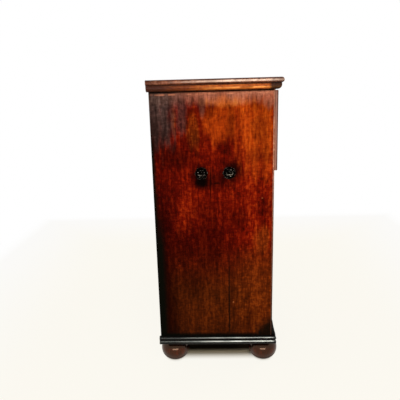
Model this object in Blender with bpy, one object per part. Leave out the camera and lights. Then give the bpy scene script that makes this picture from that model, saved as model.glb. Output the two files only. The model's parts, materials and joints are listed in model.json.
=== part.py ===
"""Campaign chest: three long drawers in a case on turned ball feet, with carrying handles at the sides.

Metres, +Z up, front towards -Y. The origin is on the floor, under the middle of the whole chest.
"""

import math

import bmesh
import bpy
from mathutils import Matrix, Vector

# Case
CASE_WIDTH = 0.800  # between the outer faces of the sides
CASE_DEPTH = 0.420  # from the back edge of a side to the front of the facing
SIDE_THICKNESS = 0.018
SHELF_THICKNESS = 0.018  # bottom board and dust boards
HOUSING_DEPTH = 0.006  # how far a shelf is let into each side
FACING_THICKNESS = 0.006
REED_DEPTH = 0.004  # how far the two reeds stand out of a facing or bead
BACK_THICKNESS = 0.010
BACK_REBATE = 0.009  # how far the back boards reach into each side
BACK_LAP = 0.012  # overlap of the two back boards
TOP_RAIL_DEPTH = 0.060

# Heights: the lower drawer takes what the other heights leave
CHEST_HEIGHT = 1.0568
FOOT_HEIGHT = 0.0885
PLINTH_HEIGHT = 0.0875  # from the feet to the floor of the lower drawer
MIDDLE_OPENING = 0.257
UPPER_OPENING = 0.257
TOP_RAIL_HEIGHT = 0.028
TOP_THICKNESS = 0.0175

# Top board and the cornice under it
TOP_OVERHANG_FRONT = 0.0246
TOP_OVERHANG_SIDE = 0.025
TOP_OVERHANG_BACK = 0.006
TOP_NOSE_FLAT = 0.001  # straight part left in the middle of the half-round edge
CORNICE_HEIGHT = 0.020
CORNICE_REACH = 0.0175
CORNICE_FOOT = 0.005  # how far its lower edge stands out
CORNICE_FILLET = 0.006  # straight part above the ovolo

# Base mouldings
BASE_REACH = 0.0145
BASE_GROOVE = 0.008  # how far the groove between the two beads stands out
LOWER_BEAD_HEIGHT = 0.0185
UPPER_BEAD_HEIGHT = 0.013
BASE_OVERHANG_BACK = 0.0045  # how far the side mouldings run past the back of the case
CAVETTO_REACH = 0.0138
CAVETTO_LIP = 0.0015  # thickness left at its upper edge
CAVETTO_HOLLOW = 0.0012  # how far the slope is hollowed

# Feet and the bearers that carry them
FOOT_RADIUS = 0.0546
FOOT_SOLE_RADIUS = 0.019
FOOT_BELLY_HEIGHT = 0.0405  # height of the widest ring
FOOT_NECK_RADIUS = 0.026
FOOT_NECK_HEIGHT = 0.0785
FOOT_COLLAR_RADIUS = 0.038
FOOT_INSET_FRONT = 0.0287  # from the front of the facing to the foot's axis
FOOT_INSET_BACK = 0.048  # from the back edge of a side to the foot's axis
FOOT_INSET_SIDE = 0.055  # from the outer face of a side to the foot's axis
SPIGOT_RADIUS = 0.014
SPIGOT_LENGTH = 0.040
BEARER_WALL = 0.020  # wood left behind a spigot
BEARER_UPSTAND = 0.020  # thickness of the front bearer's raised edge

# Carrying handles
HANDLE_HEIGHT = 0.743  # bail axis above the floor
HANDLE_FORWARD = 0.007  # how far the handle sits ahead of the middle of the side
HANDLE_SPACING = 0.0964  # between the two eyes
ROSETTE_RADIUS = 0.0225
ROSETTE_EDGE = 0.0014
ROSETTE_DOME = 0.0046
EYE_REACH = 0.014  # bail axis to the face of the side
EYE_RADIUS = 0.0064  # barrel of the eye, at its middle
EYE_END_RADIUS = 0.0050
EYE_HALF_LENGTH = 0.0105
EYE_SHANK_RADIUS = 0.0035
EYE_SHANK_LENGTH = 0.009  # length let into the side, short of the shelf housings
BAIL_PIN_RADIUS = 0.0030
BAIL_GRIP_RADIUS = 0.0046
BAIL_DROP = 0.040  # bail axis to the middle of the grip
BAIL_SPREAD = 0.0175  # how far the legs lie outside the eyes
BAIL_SHOULDER = 0.007  # radius of the bend below the pin
BAIL_CORNER = 0.022  # radius of the bend beside the grip
BAIL_PIN_TIP = 0.002  # how far the pin shows past its eye

# Drop pulls
PULL_SPACING = 0.380  # between the two pulls of a drawer
PULL_PLATE_RADIUS = 0.021
PULL_PLATE_EDGE = 0.0010
PULL_PLATE_DOME = 0.0034
PULL_REACH = 0.0095  # drop axis to the face it hangs on
STAPLE_RADIUS = 0.0016
STAPLE_LEG = 0.012  # length let into the wood
STAPLE_BEND = 0.0026
DROP_HEAD_RADIUS = 0.0043
DROP_NECK_RADIUS = 0.0022
DROP_RADIUS = 0.0066
DROP_LENGTH = 0.040  # axis to the tip
DROP_BELLY = 0.029  # axis to the widest ring

# Lobed outline shared by the rosettes and the pull plates
LOBES = 8
LOBE_DEPTH = 0.09  # share of the radius
RIB_SHARE = 0.78  # radius of the raised rib, as a share of the plate's
RIB_RISE = 0.55  # height of the rib, as a share of the dome's
HOLLOW_SHARE = 0.60  # radius of the hollow inside the rib
HOLLOW_RISE = 0.30
BOSS_SHARE = 0.42  # radius of the flat boss in the middle
BALL_START = -60  # angle below its middle at which a ball grows out of its stem, in degrees

# Drawers
DRAWER_FRONT_THICKNESS = 0.020
DRAWER_SIDE_THICKNESS = 0.010
DRAWER_BACK_THICKNESS = 0.010
DRAWER_BOTTOM_THICKNESS = 0.008
DRAWER_BOTTOM_LIFT = 0.0005  # bottom panel above the running edges
DRAWER_BACK_DROP = 0.006  # back below the top of the sides
BOTTOM_REBATE = 0.005  # how far the bottom reaches into each side
FRONT_REBATE = 0.008  # how far the bottom reaches into the front
TAIL_PITCH = 0.050
TAIL_SHARE = 0.58  # root of a tail, as a share of its pitch
TAIL_SLOPE = 1 / 6
TAIL_LAP = 0.006  # wood left in front of the tails
LIP_PROUD = 0.010  # how far the upper drawer's facing stands out of the case
LIP_BELOW = 0.006
LIP_ABOVE = 0.005
LIP_SIDE = 0.014
LIP_ROUND = 0.003

# Clearances
SEAT = 0.0003  # between two faces that bear on each other
PIN_PLAY = 0.0005  # round a pin that turns
DRAWER_SIDE_PLAY = 0.001
DRAWER_TOP_PLAY = 0.002
CUT_PAST = 0.002  # how far a cutter reaches past the face it opens

# Facets
ARC_STEPS = 6
FOOT_SEGMENTS = 24
FOOT_STEPS = 6
STEPS_PER_LOBE = 3
KNOB_SEGMENTS = 12
DROP_SEGMENTS = 12
DROP_STEPS = 3
BAIL_SIDES = 8
STAPLE_SIDES = 6
STAPLE_STEPS = 3
BORE_SEGMENTS = 16
LEAST_TAILS = 2  # dovetails at a drawer corner
SMOOTH_ANGLE = math.radians(35)  # edges sharper than this stay crisp
MERGE_DISTANCE = 1e-6
ROUND = 0.5  # shape of a bevel that is a true arc

# Widths, measured from the middle of the chest
HALF_WIDTH = CASE_WIDTH / 2
INNER = HALF_WIDTH - SIDE_THICKNESS
SHELF_HALF = INNER + HOUSING_DEPTH - SEAT
FITTED_HALF = INNER - SEAT
FOOT_X = HALF_WIDTH - FOOT_INSET_SIDE

# Depths: the case is set back so that the chest is centred on the origin
FRONT_REACH = max(FOOT_RADIUS - FOOT_INSET_FRONT, TOP_OVERHANG_FRONT, LIP_PROUD + PULL_REACH + DROP_RADIUS)
BACK_REACH = max(FOOT_RADIUS - FOOT_INSET_BACK, TOP_OVERHANG_BACK)
CASE_Y = (FRONT_REACH - BACK_REACH) / 2
FRONT_Y = CASE_Y - CASE_DEPTH / 2
BACK_Y = CASE_Y + CASE_DEPTH / 2
SIDE_FRONT_Y = FRONT_Y + FACING_THICKNESS
BACK_INNER_Y = BACK_Y - BACK_THICKNESS
SHELF_BACK_Y = BACK_INNER_Y - SEAT
FOOT_FRONT_Y = FRONT_Y + FOOT_INSET_FRONT
FOOT_REAR_Y = BACK_Y - FOOT_INSET_BACK
HANDLE_Y = CASE_Y - HANDLE_FORWARD

# Levels, from the top down to the lower drawer, and from the floor up to it
TOP_UNDERSIDE = CHEST_HEIGHT - TOP_THICKNESS
CASE_TOP = TOP_UNDERSIDE - SEAT
UPPER_CEILING = CASE_TOP - TOP_RAIL_HEIGHT
UPPER_FLOOR = UPPER_CEILING - UPPER_OPENING
MIDDLE_CEILING = UPPER_FLOOR - SHELF_THICKNESS
MIDDLE_FLOOR = MIDDLE_CEILING - MIDDLE_OPENING
LOWER_CEILING = MIDDLE_FLOOR - SHELF_THICKNESS
CASE_BOTTOM = FOOT_HEIGHT + SEAT
LOWER_FLOOR = FOOT_HEIGHT + PLINTH_HEIGHT
LOWER_OPENING = LOWER_CEILING - LOWER_FLOOR
BASE_TOP = CASE_BOTTOM + LOWER_BEAD_HEIGHT + UPPER_BEAD_HEIGHT
BEARER_TOP = LOWER_FLOOR - SHELF_THICKNESS - SEAT

# Drawer box, seen from its own origin at the bottom of the front's outer face
BOX_HALF = INNER - DRAWER_SIDE_PLAY
BOX_INNER = BOX_HALF - DRAWER_SIDE_THICKNESS
BOX_LENGTH = SHELF_BACK_Y - SIDE_FRONT_Y
BOTTOM_TOP = DRAWER_BOTTOM_LIFT + DRAWER_BOTTOM_THICKNESS
REBATE_TOP = BOTTOM_TOP + SEAT
STAPLE_HALF = DROP_HEAD_RADIUS + PIN_PLAY + STAPLE_RADIUS
DRAWERS = {
    "upper": (UPPER_FLOOR, UPPER_OPENING),
    "middle": (MIDDLE_FLOOR, MIDDLE_OPENING),
    "lower": (LOWER_FLOOR, LOWER_OPENING),
}
HANDS = {"left": -1, "right": 1}

# Directions that a fitting made along +Z is turned to
TO_LEFT = Matrix.Rotation(-math.pi / 2, 4, "Y")
TO_RIGHT = Matrix.Rotation(math.pi / 2, 4, "Y")
TO_FRONT = Matrix.Rotation(math.pi / 2, 4, "X")
FACING_OUT = {"left": TO_LEFT, "right": TO_RIGHT}

# Colour, roughness and metallic value of each finish
FINISHES = {
    "case_wood": ((0.080, 0.027, 0.014), 0.45, 0.0),
    "facing_wood": ((0.150, 0.060, 0.030), 0.45, 0.0),
    "turned_wood": ((0.095, 0.028, 0.013), 0.32, 0.0),
    "drawer_wood": ((0.330, 0.210, 0.115), 0.65, 0.0),
    "dark_metal": ((0.070, 0.060, 0.045), 0.42, 1.0),
}


def make_finish(name):
    """Principled material of one finish."""
    colour, roughness, metallic = FINISHES[name]
    finish = bpy.data.materials.new(name)
    finish.use_nodes = True
    shader = finish.node_tree.nodes["Principled BSDF"]
    shader.inputs["Base Color"].default_value = (*colour, 1.0)
    shader.inputs["Roughness"].default_value = roughness
    shader.inputs["Metallic"].default_value = metallic
    finish.diffuse_color = (*colour, 1.0)
    return finish


def make_object(name, form, finish, parent=None, place=(0, 0, 0), smooth=False):
    """Turn a bmesh into a named object, in its parent's frame if it has one."""
    bmesh.ops.recalc_face_normals(form, faces=form.faces)
    mesh = bpy.data.meshes.new(name)
    form.to_mesh(mesh)
    form.free()
    if smooth:
        mesh.shade_smooth()
        mesh.set_sharp_from_angle(angle=SMOOTH_ANGLE)
    thing = bpy.data.objects.new(name, mesh)
    thing.location = place
    thing.parent = parent
    if finish:
        mesh.materials.append(bpy.data.materials[finish])
    bpy.context.collection.objects.link(thing)
    return thing


def combine(target, form, operation, parent=None, place=(0, 0, 0)):
    """Cut a form out of an object, or join it to the object."""
    tool = make_object(f"{target.name}_{operation.lower()}", form, None, parent, place)
    tool.hide_render = True
    tool.display_type = "WIRE"
    step = target.modifiers.new(operation.lower(), "BOOLEAN")
    step.operation = operation
    step.solver = "EXACT"
    step.object = tool


def add_form(form, other):
    """Add a second form's faces to a bmesh."""
    mesh = bpy.data.meshes.new("added")
    bmesh.ops.recalc_face_normals(other, faces=other.faces)
    other.to_mesh(mesh)
    other.free()
    form.from_mesh(mesh)
    bpy.data.meshes.remove(mesh)


def add_block(form, x_range, y_range, z_range):
    """Add a box to a bmesh."""
    low = Vector((x_range[0], y_range[0], z_range[0]))
    size = Vector((x_range[1], y_range[1], z_range[1])) - low
    middle = Matrix.Translation(low + size / 2) @ Matrix.Diagonal((*size, 1))
    return bmesh.ops.create_cube(form, size=1, matrix=middle)["verts"]


def block(x_range, y_range, z_range):
    """A plain board."""
    form = bmesh.new()
    add_block(form, x_range, y_range, z_range)
    return form


def add_run(form, profile, start, end, to_space, mitre_start=0, mitre_end=0):
    """Run a closed profile of (out, up) points along a straight line, square or mitred at its ends."""
    rings = []
    for stop, mitre in ((start, mitre_start), (end, mitre_end)):
        rings.append([form.verts.new(to_space(stop + mitre * out, out, up)) for out, up in profile])
    form.faces.new(rings[0])
    form.faces.new(rings[1])
    for index in range(len(profile)):
        after = (index + 1) % len(profile)
        form.faces.new((rings[0][index], rings[0][after], rings[1][after], rings[1][index]))


def run(profile, start, end, to_space, mitre_start=0, mitre_end=0):
    """One straight moulding."""
    form = bmesh.new()
    add_run(form, profile, start, end, to_space, mitre_start, mitre_end)
    return form


def along_x(along, out, up):
    """Run in X, profile in Y and Z."""
    return (along, out, up)


def along_y(along, out, up):
    """Run in Y, profile in X and Z."""
    return (out, along, up)


def along_z(along, out, up):
    """Run in Z, profile in X and Y."""
    return (out, up, along)


def on_front(along, out, up):
    """Run along the front of the case, standing out of it."""
    return (along, FRONT_Y - SEAT - out, up)


def on_side(sign):
    """Run along one side of the case, standing out of it."""
    return lambda along, out, up: (sign * (HALF_WIDTH + SEAT + out), along, up)


def turned(profile, segments):
    """Spin a profile of (radius, height) points, from the lower end to the upper, round Z."""
    form = bmesh.new()
    points = [form.verts.new((radius, 0, height)) for radius, height in profile]
    edges = [form.edges.new(pair) for pair in zip(points, points[1:])]
    bmesh.ops.spin(form, geom=points + edges, cent=(0, 0, 0), axis=(0, 0, 1), angle=2 * math.pi,
                   steps=segments, use_merge=True)
    bmesh.ops.remove_doubles(form, verts=form.verts, dist=MERGE_DISTANCE)
    return form


def arc(centre, radii, start, end, steps):
    """Points of an elliptical arc, angles in degrees."""
    angles = [math.radians(start + (end - start) * step / steps) for step in range(steps + 1)]
    return [(centre[0] + radii[0] * math.cos(a), centre[1] + radii[1] * math.sin(a)) for a in angles]


def tube(points, radii, sides):
    """Round bar through points that lie in one plane, with its own radius at each point."""
    form = bmesh.new()
    points = [Vector(point) for point in points]
    binormal = (points[1] - points[0]).cross(points[len(points) // 2] - points[0]).normalized()
    rings = []
    for index, point in enumerate(points):
        ahead = points[min(index + 1, len(points) - 1)] - points[max(index - 1, 0)]
        normal = binormal.cross(ahead.normalized())
        angles = [2 * math.pi * side / sides for side in range(sides)]
        rings.append([
            form.verts.new(point + radii[index] * (math.cos(a) * normal + math.sin(a) * binormal))
            for a in angles
        ])
    for ring, after in zip(rings, rings[1:]):
        for side in range(sides):
            beside = (side + 1) % sides
            form.faces.new((ring[side], ring[beside], after[beside], after[side]))
    form.faces.new(rings[0])
    form.faces.new(rings[-1])
    return form


def bore_cutter(radius, start, end):
    """Cylinder along Z whose flats, not its corners, lie at the radius of the bore."""
    corner = radius / math.cos(math.pi / BORE_SEGMENTS)
    return turned([(0, start), (corner, start), (corner, end), (0, end)], BORE_SEGMENTS)


def lobed_plate(radius, edge, dome):
    """Domed plate with a scalloped rim, its back at z = 0 and its dome towards +Z."""
    form = bmesh.new()
    count = LOBES * STEPS_PER_LOBE
    angles = [2 * math.pi * step / count for step in range(count)]

    def ring(share, height):
        reach = [share * radius * (1 - LOBE_DEPTH * (1 - math.cos(LOBES * a)) / 2) for a in angles]
        return [form.verts.new((r * math.cos(a), r * math.sin(a), height)) for r, a in zip(reach, angles)]

    rise = dome - edge
    rib = (RIB_SHARE, edge + RIB_RISE * rise)
    hollow = (HOLLOW_SHARE, edge + HOLLOW_RISE * rise)
    levels = [(1.0, 0.0), (1.0, edge), rib, hollow, (BOSS_SHARE, dome)]
    rings = [ring(share, height) for share, height in levels]
    for low, high in zip(rings, rings[1:]):
        for step in range(count):
            after = (step + 1) % count
            form.faces.new((low[step], low[after], high[after], high[step]))
    form.faces.new(rings[0])
    form.faces.new(rings[-1])
    return form


def reeded(width):
    """Profile of a strip with two half-round reeds, as (across, out) points, its back on out = 0."""
    base = FACING_THICKNESS - SEAT - REED_DEPTH
    reed = width / 4
    points = [(0, 0), (0, base)]
    for centre in (reed, 3 * reed):
        points += arc((centre, base), (reed, REED_DEPTH), 180, 0, ARC_STEPS)[1:]
    return points + [(width, 0)]


def ovolo_profile():
    """Cornice: a fillet over a quarter round."""
    low = CASE_TOP - CORNICE_HEIGHT
    rise = CORNICE_HEIGHT - CORNICE_FILLET
    swell = arc((CORNICE_FOOT, low + rise), (CORNICE_REACH - CORNICE_FOOT, rise), -90, 0, ARC_STEPS)
    return [(0, low)] + swell + [(CORNICE_REACH, CASE_TOP), (0, CASE_TOP)]


def double_bead_profile():
    """Base moulding: a large bead under a smaller one."""
    swell = BASE_REACH - BASE_GROOVE
    points = [(0, CASE_BOTTOM), (BASE_GROOVE, CASE_BOTTOM)]
    level = CASE_BOTTOM
    for height in (LOWER_BEAD_HEIGHT, UPPER_BEAD_HEIGHT):
        points += arc((BASE_GROOVE, level + height / 2), (swell, height / 2), -90, 90, ARC_STEPS)[1:]
        level += height
    return points + [(0, BASE_TOP)]


def cavetto_profile():
    """Sloped and slightly hollowed moulding between the base beads and the lower drawer."""
    low = BASE_TOP + SEAT
    points = [(0, low)]
    for step in range(ARC_STEPS + 1):
        share = step / ARC_STEPS
        slope = CAVETTO_REACH + (CAVETTO_LIP - CAVETTO_REACH) * share
        hollow = CAVETTO_HOLLOW * math.sin(math.pi * share)
        points.append((slope - hollow, low + (LOWER_FLOOR - low) * share))
    return points + [(0, LOWER_FLOOR)]


def foot_profile():
    """Ball foot: sole, belly, neck, collar and the spigot above it, as (radius, height) points."""
    belly = (FOOT_SOLE_RADIUS, FOOT_BELLY_HEIGHT)
    lower = arc(belly, (FOOT_RADIUS - FOOT_SOLE_RADIUS, FOOT_BELLY_HEIGHT), -90, 0, FOOT_STEPS)
    crown = (FOOT_RADIUS - FOOT_NECK_RADIUS, FOOT_NECK_HEIGHT - FOOT_BELLY_HEIGHT)
    upper = arc((FOOT_NECK_RADIUS, FOOT_BELLY_HEIGHT), crown, 0, 90, FOOT_STEPS)[1:]
    collar = [(FOOT_COLLAR_RADIUS, FOOT_NECK_HEIGHT), (FOOT_COLLAR_RADIUS, FOOT_HEIGHT)]
    spigot = [(SPIGOT_RADIUS, FOOT_HEIGHT), (SPIGOT_RADIUS, FOOT_HEIGHT + SPIGOT_LENGTH)]
    return [(0, 0)] + lower + upper + collar + spigot + [(0, FOOT_HEIGHT + SPIGOT_LENGTH)]


def tails(root, start, end, low, high, clearance=0):
    """Corner points of the dovetails between two heights, from the lowest up, as (y, z) pairs.

    A tail has its set width on the plane y = root and widens from there towards its end.
    """
    count = max(LEAST_TAILS, round((high - low) / TAIL_PITCH))
    pitch = (high - low) / count
    ahead = math.copysign(1, end - start)
    corners = []
    for index in range(count):
        middle = low + pitch * (index + 0.5)
        narrow, wide = (
            TAIL_SHARE * pitch / 2 + TAIL_SLOPE * ahead * (y - root) + clearance for y in (start, end)
        )
        below = [(start, middle - narrow), (end, middle - wide)]
        above = [(end, middle + wide), (start, middle + narrow)]
        corners.append(below + above)
    return corners


def add_sockets(form, root, start, end, low, high):
    """Cutters for the sockets that the tails of both drawer sides enter."""
    for corners in tails(root, start, end, low, high, SEAT):
        for sign in HANDS.values():
            add_run(form, corners, sign * (BOX_INNER - SEAT), sign * (BOX_HALF + CUT_PAST), along_x)


def make_sides():
    """Two upright sides, housed for the shelves and rebated for the back."""
    housing = INNER + HOUSING_DEPTH
    shelves = [LOWER_FLOOR - SHELF_THICKNESS, LOWER_CEILING, MIDDLE_CEILING]
    for hand, sign in HANDS.items():
        outer = [(sign * HALF_WIDTH, CASE_TOP), (sign * HALF_WIDTH, CASE_BOTTOM)]
        outline = outer + [(sign * INNER, CASE_BOTTOM)]
        for level in shelves:
            low = level - SEAT
            high = level + SHELF_THICKNESS + SEAT
            outline += [(sign * INNER, low), (sign * housing, low)]
            outline += [(sign * housing, high), (sign * INNER, high)]
        outline.append((sign * INNER, CASE_TOP))
        side = make_object(f"side_{hand}", run(outline, SIDE_FRONT_Y, BACK_Y, along_y), "case_wood")
        rebate_x = sorted((sign * (INNER - CUT_PAST), sign * (INNER + BACK_REBATE)))
        rebate_y = (BACK_INNER_Y - SEAT, BACK_Y + CUT_PAST)
        rebate = block(rebate_x, rebate_y, (CASE_BOTTOM - CUT_PAST, CASE_TOP + CUT_PAST))
        for eye_y in eye_places():
            hole = bore_cutter(EYE_SHANK_RADIUS + SEAT, -EYE_SHANK_LENGTH - SEAT, CUT_PAST)
            bmesh.ops.transform(hole, matrix=eye_frame(hand, eye_y), verts=hole.verts)
            add_form(rebate, hole)
        combine(side, rebate, "DIFFERENCE")


def make_shelves():
    """Bottom board, two dust boards, and the reeded beads on their front edges."""
    width = (-SHELF_HALF, SHELF_HALF)
    bottom_y = (FRONT_Y + BEARER_UPSTAND + SEAT, SHELF_BACK_Y)
    bottom = block(width, bottom_y, (LOWER_FLOOR - SHELF_THICKNESS, LOWER_FLOOR))
    make_object("bottom_board", bottom, "drawer_wood")
    for name, level in (("lower", LOWER_CEILING), ("upper", MIDDLE_CEILING)):
        board = block(width, (SIDE_FRONT_Y, SHELF_BACK_Y), (level, level + SHELF_THICKNESS))
        make_object(f"dust_board_{name}", board, "drawer_wood")
        strip = [(SIDE_FRONT_Y - SEAT - out, level + across) for across, out in reeded(SHELF_THICKNESS)]
        bead = run(strip, -FITTED_HALF, FITTED_HALF, along_x)
        make_object(f"bead_{name}", bead, "facing_wood", smooth=True)


def make_facings():
    """Reeded strips on the front edges of the sides."""
    for hand, sign in HANDS.items():
        reeds = reeded(SIDE_THICKNESS)
        strip = [(sign * (INNER + across), SIDE_FRONT_Y - SEAT - out) for across, out in reeds]
        facing = run(strip, CASE_BOTTOM, CASE_TOP, along_z)
        make_object(f"facing_{hand}", facing, "facing_wood", smooth=True)


def make_back():
    """Two upright back boards with a lapped joint between them."""
    middle = BACK_INNER_Y + BACK_THICKNESS / 2
    edge = INNER + BACK_REBATE - SEAT
    lap = BACK_LAP / 2
    left = [
        (-edge, BACK_INNER_Y), (lap, BACK_INNER_Y), (lap, middle - SEAT / 2),
        (-lap, middle - SEAT / 2), (-lap, BACK_Y), (-edge, BACK_Y),
    ]
    right = [
        (edge, BACK_Y), (SEAT - lap, BACK_Y), (SEAT - lap, middle + SEAT / 2),
        (lap + SEAT, middle + SEAT / 2), (lap + SEAT, BACK_INNER_Y), (edge, BACK_INNER_Y),
    ]
    for hand, outline in (("left", left), ("right", right)):
        make_object(f"back_board_{hand}", run(outline, CASE_BOTTOM, CASE_TOP, along_z), "drawer_wood")


def make_rails():
    """Top rail, and the two bearers under the bottom board that take the feet."""
    width = (-FITTED_HALF, FITTED_HALF)
    rail_y = (FRONT_Y, FRONT_Y + TOP_RAIL_DEPTH)
    make_object("top_rail", block(width, rail_y, (UPPER_CEILING, CASE_TOP)), "case_wood")
    front_end = FOOT_FRONT_Y + SPIGOT_RADIUS + BEARER_WALL
    step_y = FRONT_Y + BEARER_UPSTAND
    outline = [
        (FRONT_Y, CASE_BOTTOM), (FRONT_Y, LOWER_FLOOR), (step_y, LOWER_FLOOR),
        (step_y, BEARER_TOP), (front_end, BEARER_TOP), (front_end, CASE_BOTTOM),
    ]
    front = make_object("front_bearer", run(outline, *width, along_x), "case_wood")
    rear_start = FOOT_REAR_Y - SPIGOT_RADIUS - BEARER_WALL
    rear = block(width, (rear_start, SHELF_BACK_Y), (CASE_BOTTOM, BEARER_TOP))
    rear = make_object("rear_bearer", rear, "drawer_wood")
    for bearer, foot_y in ((front, FOOT_FRONT_Y), (rear, FOOT_REAR_Y)):
        holes = bmesh.new()
        for sign in HANDS.values():
            hole_top = FOOT_HEIGHT + SPIGOT_LENGTH + SEAT
            hole = bore_cutter(SPIGOT_RADIUS + SEAT, CASE_BOTTOM - CUT_PAST, hole_top)
            bmesh.ops.translate(hole, vec=(sign * FOOT_X, foot_y, 0), verts=hole.verts)
            add_form(holes, hole)
        combine(bearer, holes, "DIFFERENCE")


def make_feet():
    """Four turned ball feet."""
    for end, foot_y in (("front", FOOT_FRONT_Y), ("rear", FOOT_REAR_Y)):
        for hand, sign in HANDS.items():
            foot = turned(foot_profile(), FOOT_SEGMENTS)
            place = (sign * FOOT_X, foot_y, 0)
            make_object(f"foot_{end}_{hand}", foot, "turned_wood", place=place, smooth=True)


def make_top():
    """Top board with a half-round edge on its front and ends."""
    half = HALF_WIDTH + TOP_OVERHANG_SIDE
    front = FRONT_Y - TOP_OVERHANG_FRONT
    back = BACK_Y + TOP_OVERHANG_BACK
    form = block((-half, half), (front, back), (TOP_UNDERSIDE, CHEST_HEIGHT))

    def is_nosed(edge):
        ends = [corner.co for corner in edge.verts]
        level = abs(ends[0].z - ends[1].z) < SEAT
        return level and min(ends[0].y, ends[1].y) < CASE_Y

    nosed = [edge for edge in form.edges if is_nosed(edge)]
    nose = (TOP_THICKNESS - TOP_NOSE_FLAT) / 2
    bmesh.ops.bevel(form, geom=nosed, offset=nose, segments=ARC_STEPS, profile=ROUND, affect="EDGES")
    make_object("top_board", form, "case_wood", smooth=True)


def make_mouldings():
    """Cornice and base mouldings, mitred at the front corners, and the cavetto over the front base."""
    for name, profile, rear in (
        ("cornice", ovolo_profile(), BACK_Y + TOP_OVERHANG_BACK),
        ("base_moulding", double_bead_profile(), BACK_Y + BASE_OVERHANG_BACK),
    ):
        front = run(profile, -HALF_WIDTH, HALF_WIDTH, on_front, -1, 1)
        make_object(f"{name}_front", front, "case_wood", smooth=True)
        for hand, sign in HANDS.items():
            side = run(profile, FRONT_Y + SEAT, rear, on_side(sign), -1, 0)
            make_object(f"{name}_{hand}", side, "case_wood", smooth=True)
    cavetto = run(cavetto_profile(), -HALF_WIDTH, HALF_WIDTH, on_front)
    make_object("base_cavetto_front", cavetto, "case_wood", smooth=True)


def eye_places():
    """Y of the rear and the front eye of a handle."""
    return (HANDLE_Y + HANDLE_SPACING / 2, HANDLE_Y - HANDLE_SPACING / 2)


def eye_frame(hand, eye_y):
    """Frame of a rosette: its origin on the face of the side and +Z pointing out."""
    face = Vector((HANDS[hand] * HALF_WIDTH, eye_y, HANDLE_HEIGHT))
    return Matrix.Translation(face) @ FACING_OUT[hand]


def make_handles():
    """Rosettes with pierced eyes on both sides, and the bail that hangs in the right-hand pair."""
    for hand in HANDS:
        for end, eye_y in zip(("rear", "front"), eye_places()):
            frame = eye_frame(hand, eye_y) @ Matrix.Translation((0, 0, SEAT))
            plate = lobed_plate(ROSETTE_RADIUS, ROSETTE_EDGE, ROSETTE_DOME)
            rosette = make_object(f"handle_rosette_{hand}_{end}", plate, "dark_metal", smooth=True)
            rosette.matrix_world = frame
            axis = (0, 0, EYE_REACH - SEAT)
            shank = [(EYE_SHANK_RADIUS, -EYE_SHANK_LENGTH), (EYE_SHANK_RADIUS, axis[2])]
            shank = turned([(0, -EYE_SHANK_LENGTH)] + shank + [(0, axis[2])], KNOB_SEGMENTS)
            combine(rosette, shank, "UNION", parent=rosette)
            swell = (EYE_RADIUS - EYE_END_RADIUS, EYE_HALF_LENGTH)
            barrel = arc((EYE_END_RADIUS, 0), swell, -90, 90, ARC_STEPS)
            barrel = turned([(0, -EYE_HALF_LENGTH)] + barrel + [(0, EYE_HALF_LENGTH)], KNOB_SEGMENTS)
            bmesh.ops.rotate(barrel, matrix=Matrix.Rotation(math.pi / 2, 3, "X"), verts=barrel.verts)
            combine(rosette, barrel, "UNION", parent=rosette, place=axis)
            bore_end = EYE_HALF_LENGTH + CUT_PAST
            bore = bore_cutter(BAIL_PIN_RADIUS + PIN_PLAY, -bore_end, bore_end)
            bmesh.ops.rotate(bore, matrix=Matrix.Rotation(math.pi / 2, 3, "X"), verts=bore.verts)
            combine(rosette, bore, "DIFFERENCE", parent=rosette, place=axis)
    make_bail()


def make_bail():
    """Carrying bail, hanging from its axis, with a grip that swells between the legs."""
    leg = HANDLE_SPACING / 2 + BAIL_SPREAD
    tip = HANDLE_SPACING / 2 - EYE_HALF_LENGTH - BAIL_PIN_TIP
    shoulder = arc((leg - BAIL_SHOULDER, -BAIL_SHOULDER), (BAIL_SHOULDER, BAIL_SHOULDER), 90, 0, ARC_STEPS)
    corner_centre = (leg - BAIL_CORNER, BAIL_CORNER - BAIL_DROP)
    corner = arc(corner_centre, (BAIL_CORNER, BAIL_CORNER), 0, -90, ARC_STEPS)
    half = [(tip, 0)] + shoulder + corner
    path = half + [(-y, z) for y, z in reversed(half)]
    swell = BAIL_GRIP_RADIUS - BAIL_PIN_RADIUS
    radii = [BAIL_PIN_RADIUS + swell * min(1, max(0, -z / BAIL_DROP)) for y, z in path]
    form = tube([(0, y, z) for y, z in path], radii, BAIL_SIDES)
    axis = (HALF_WIDTH + EYE_REACH, HANDLE_Y, HANDLE_HEIGHT)
    make_object("handle_bail_right", form, "dark_metal", place=axis, smooth=True)


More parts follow.
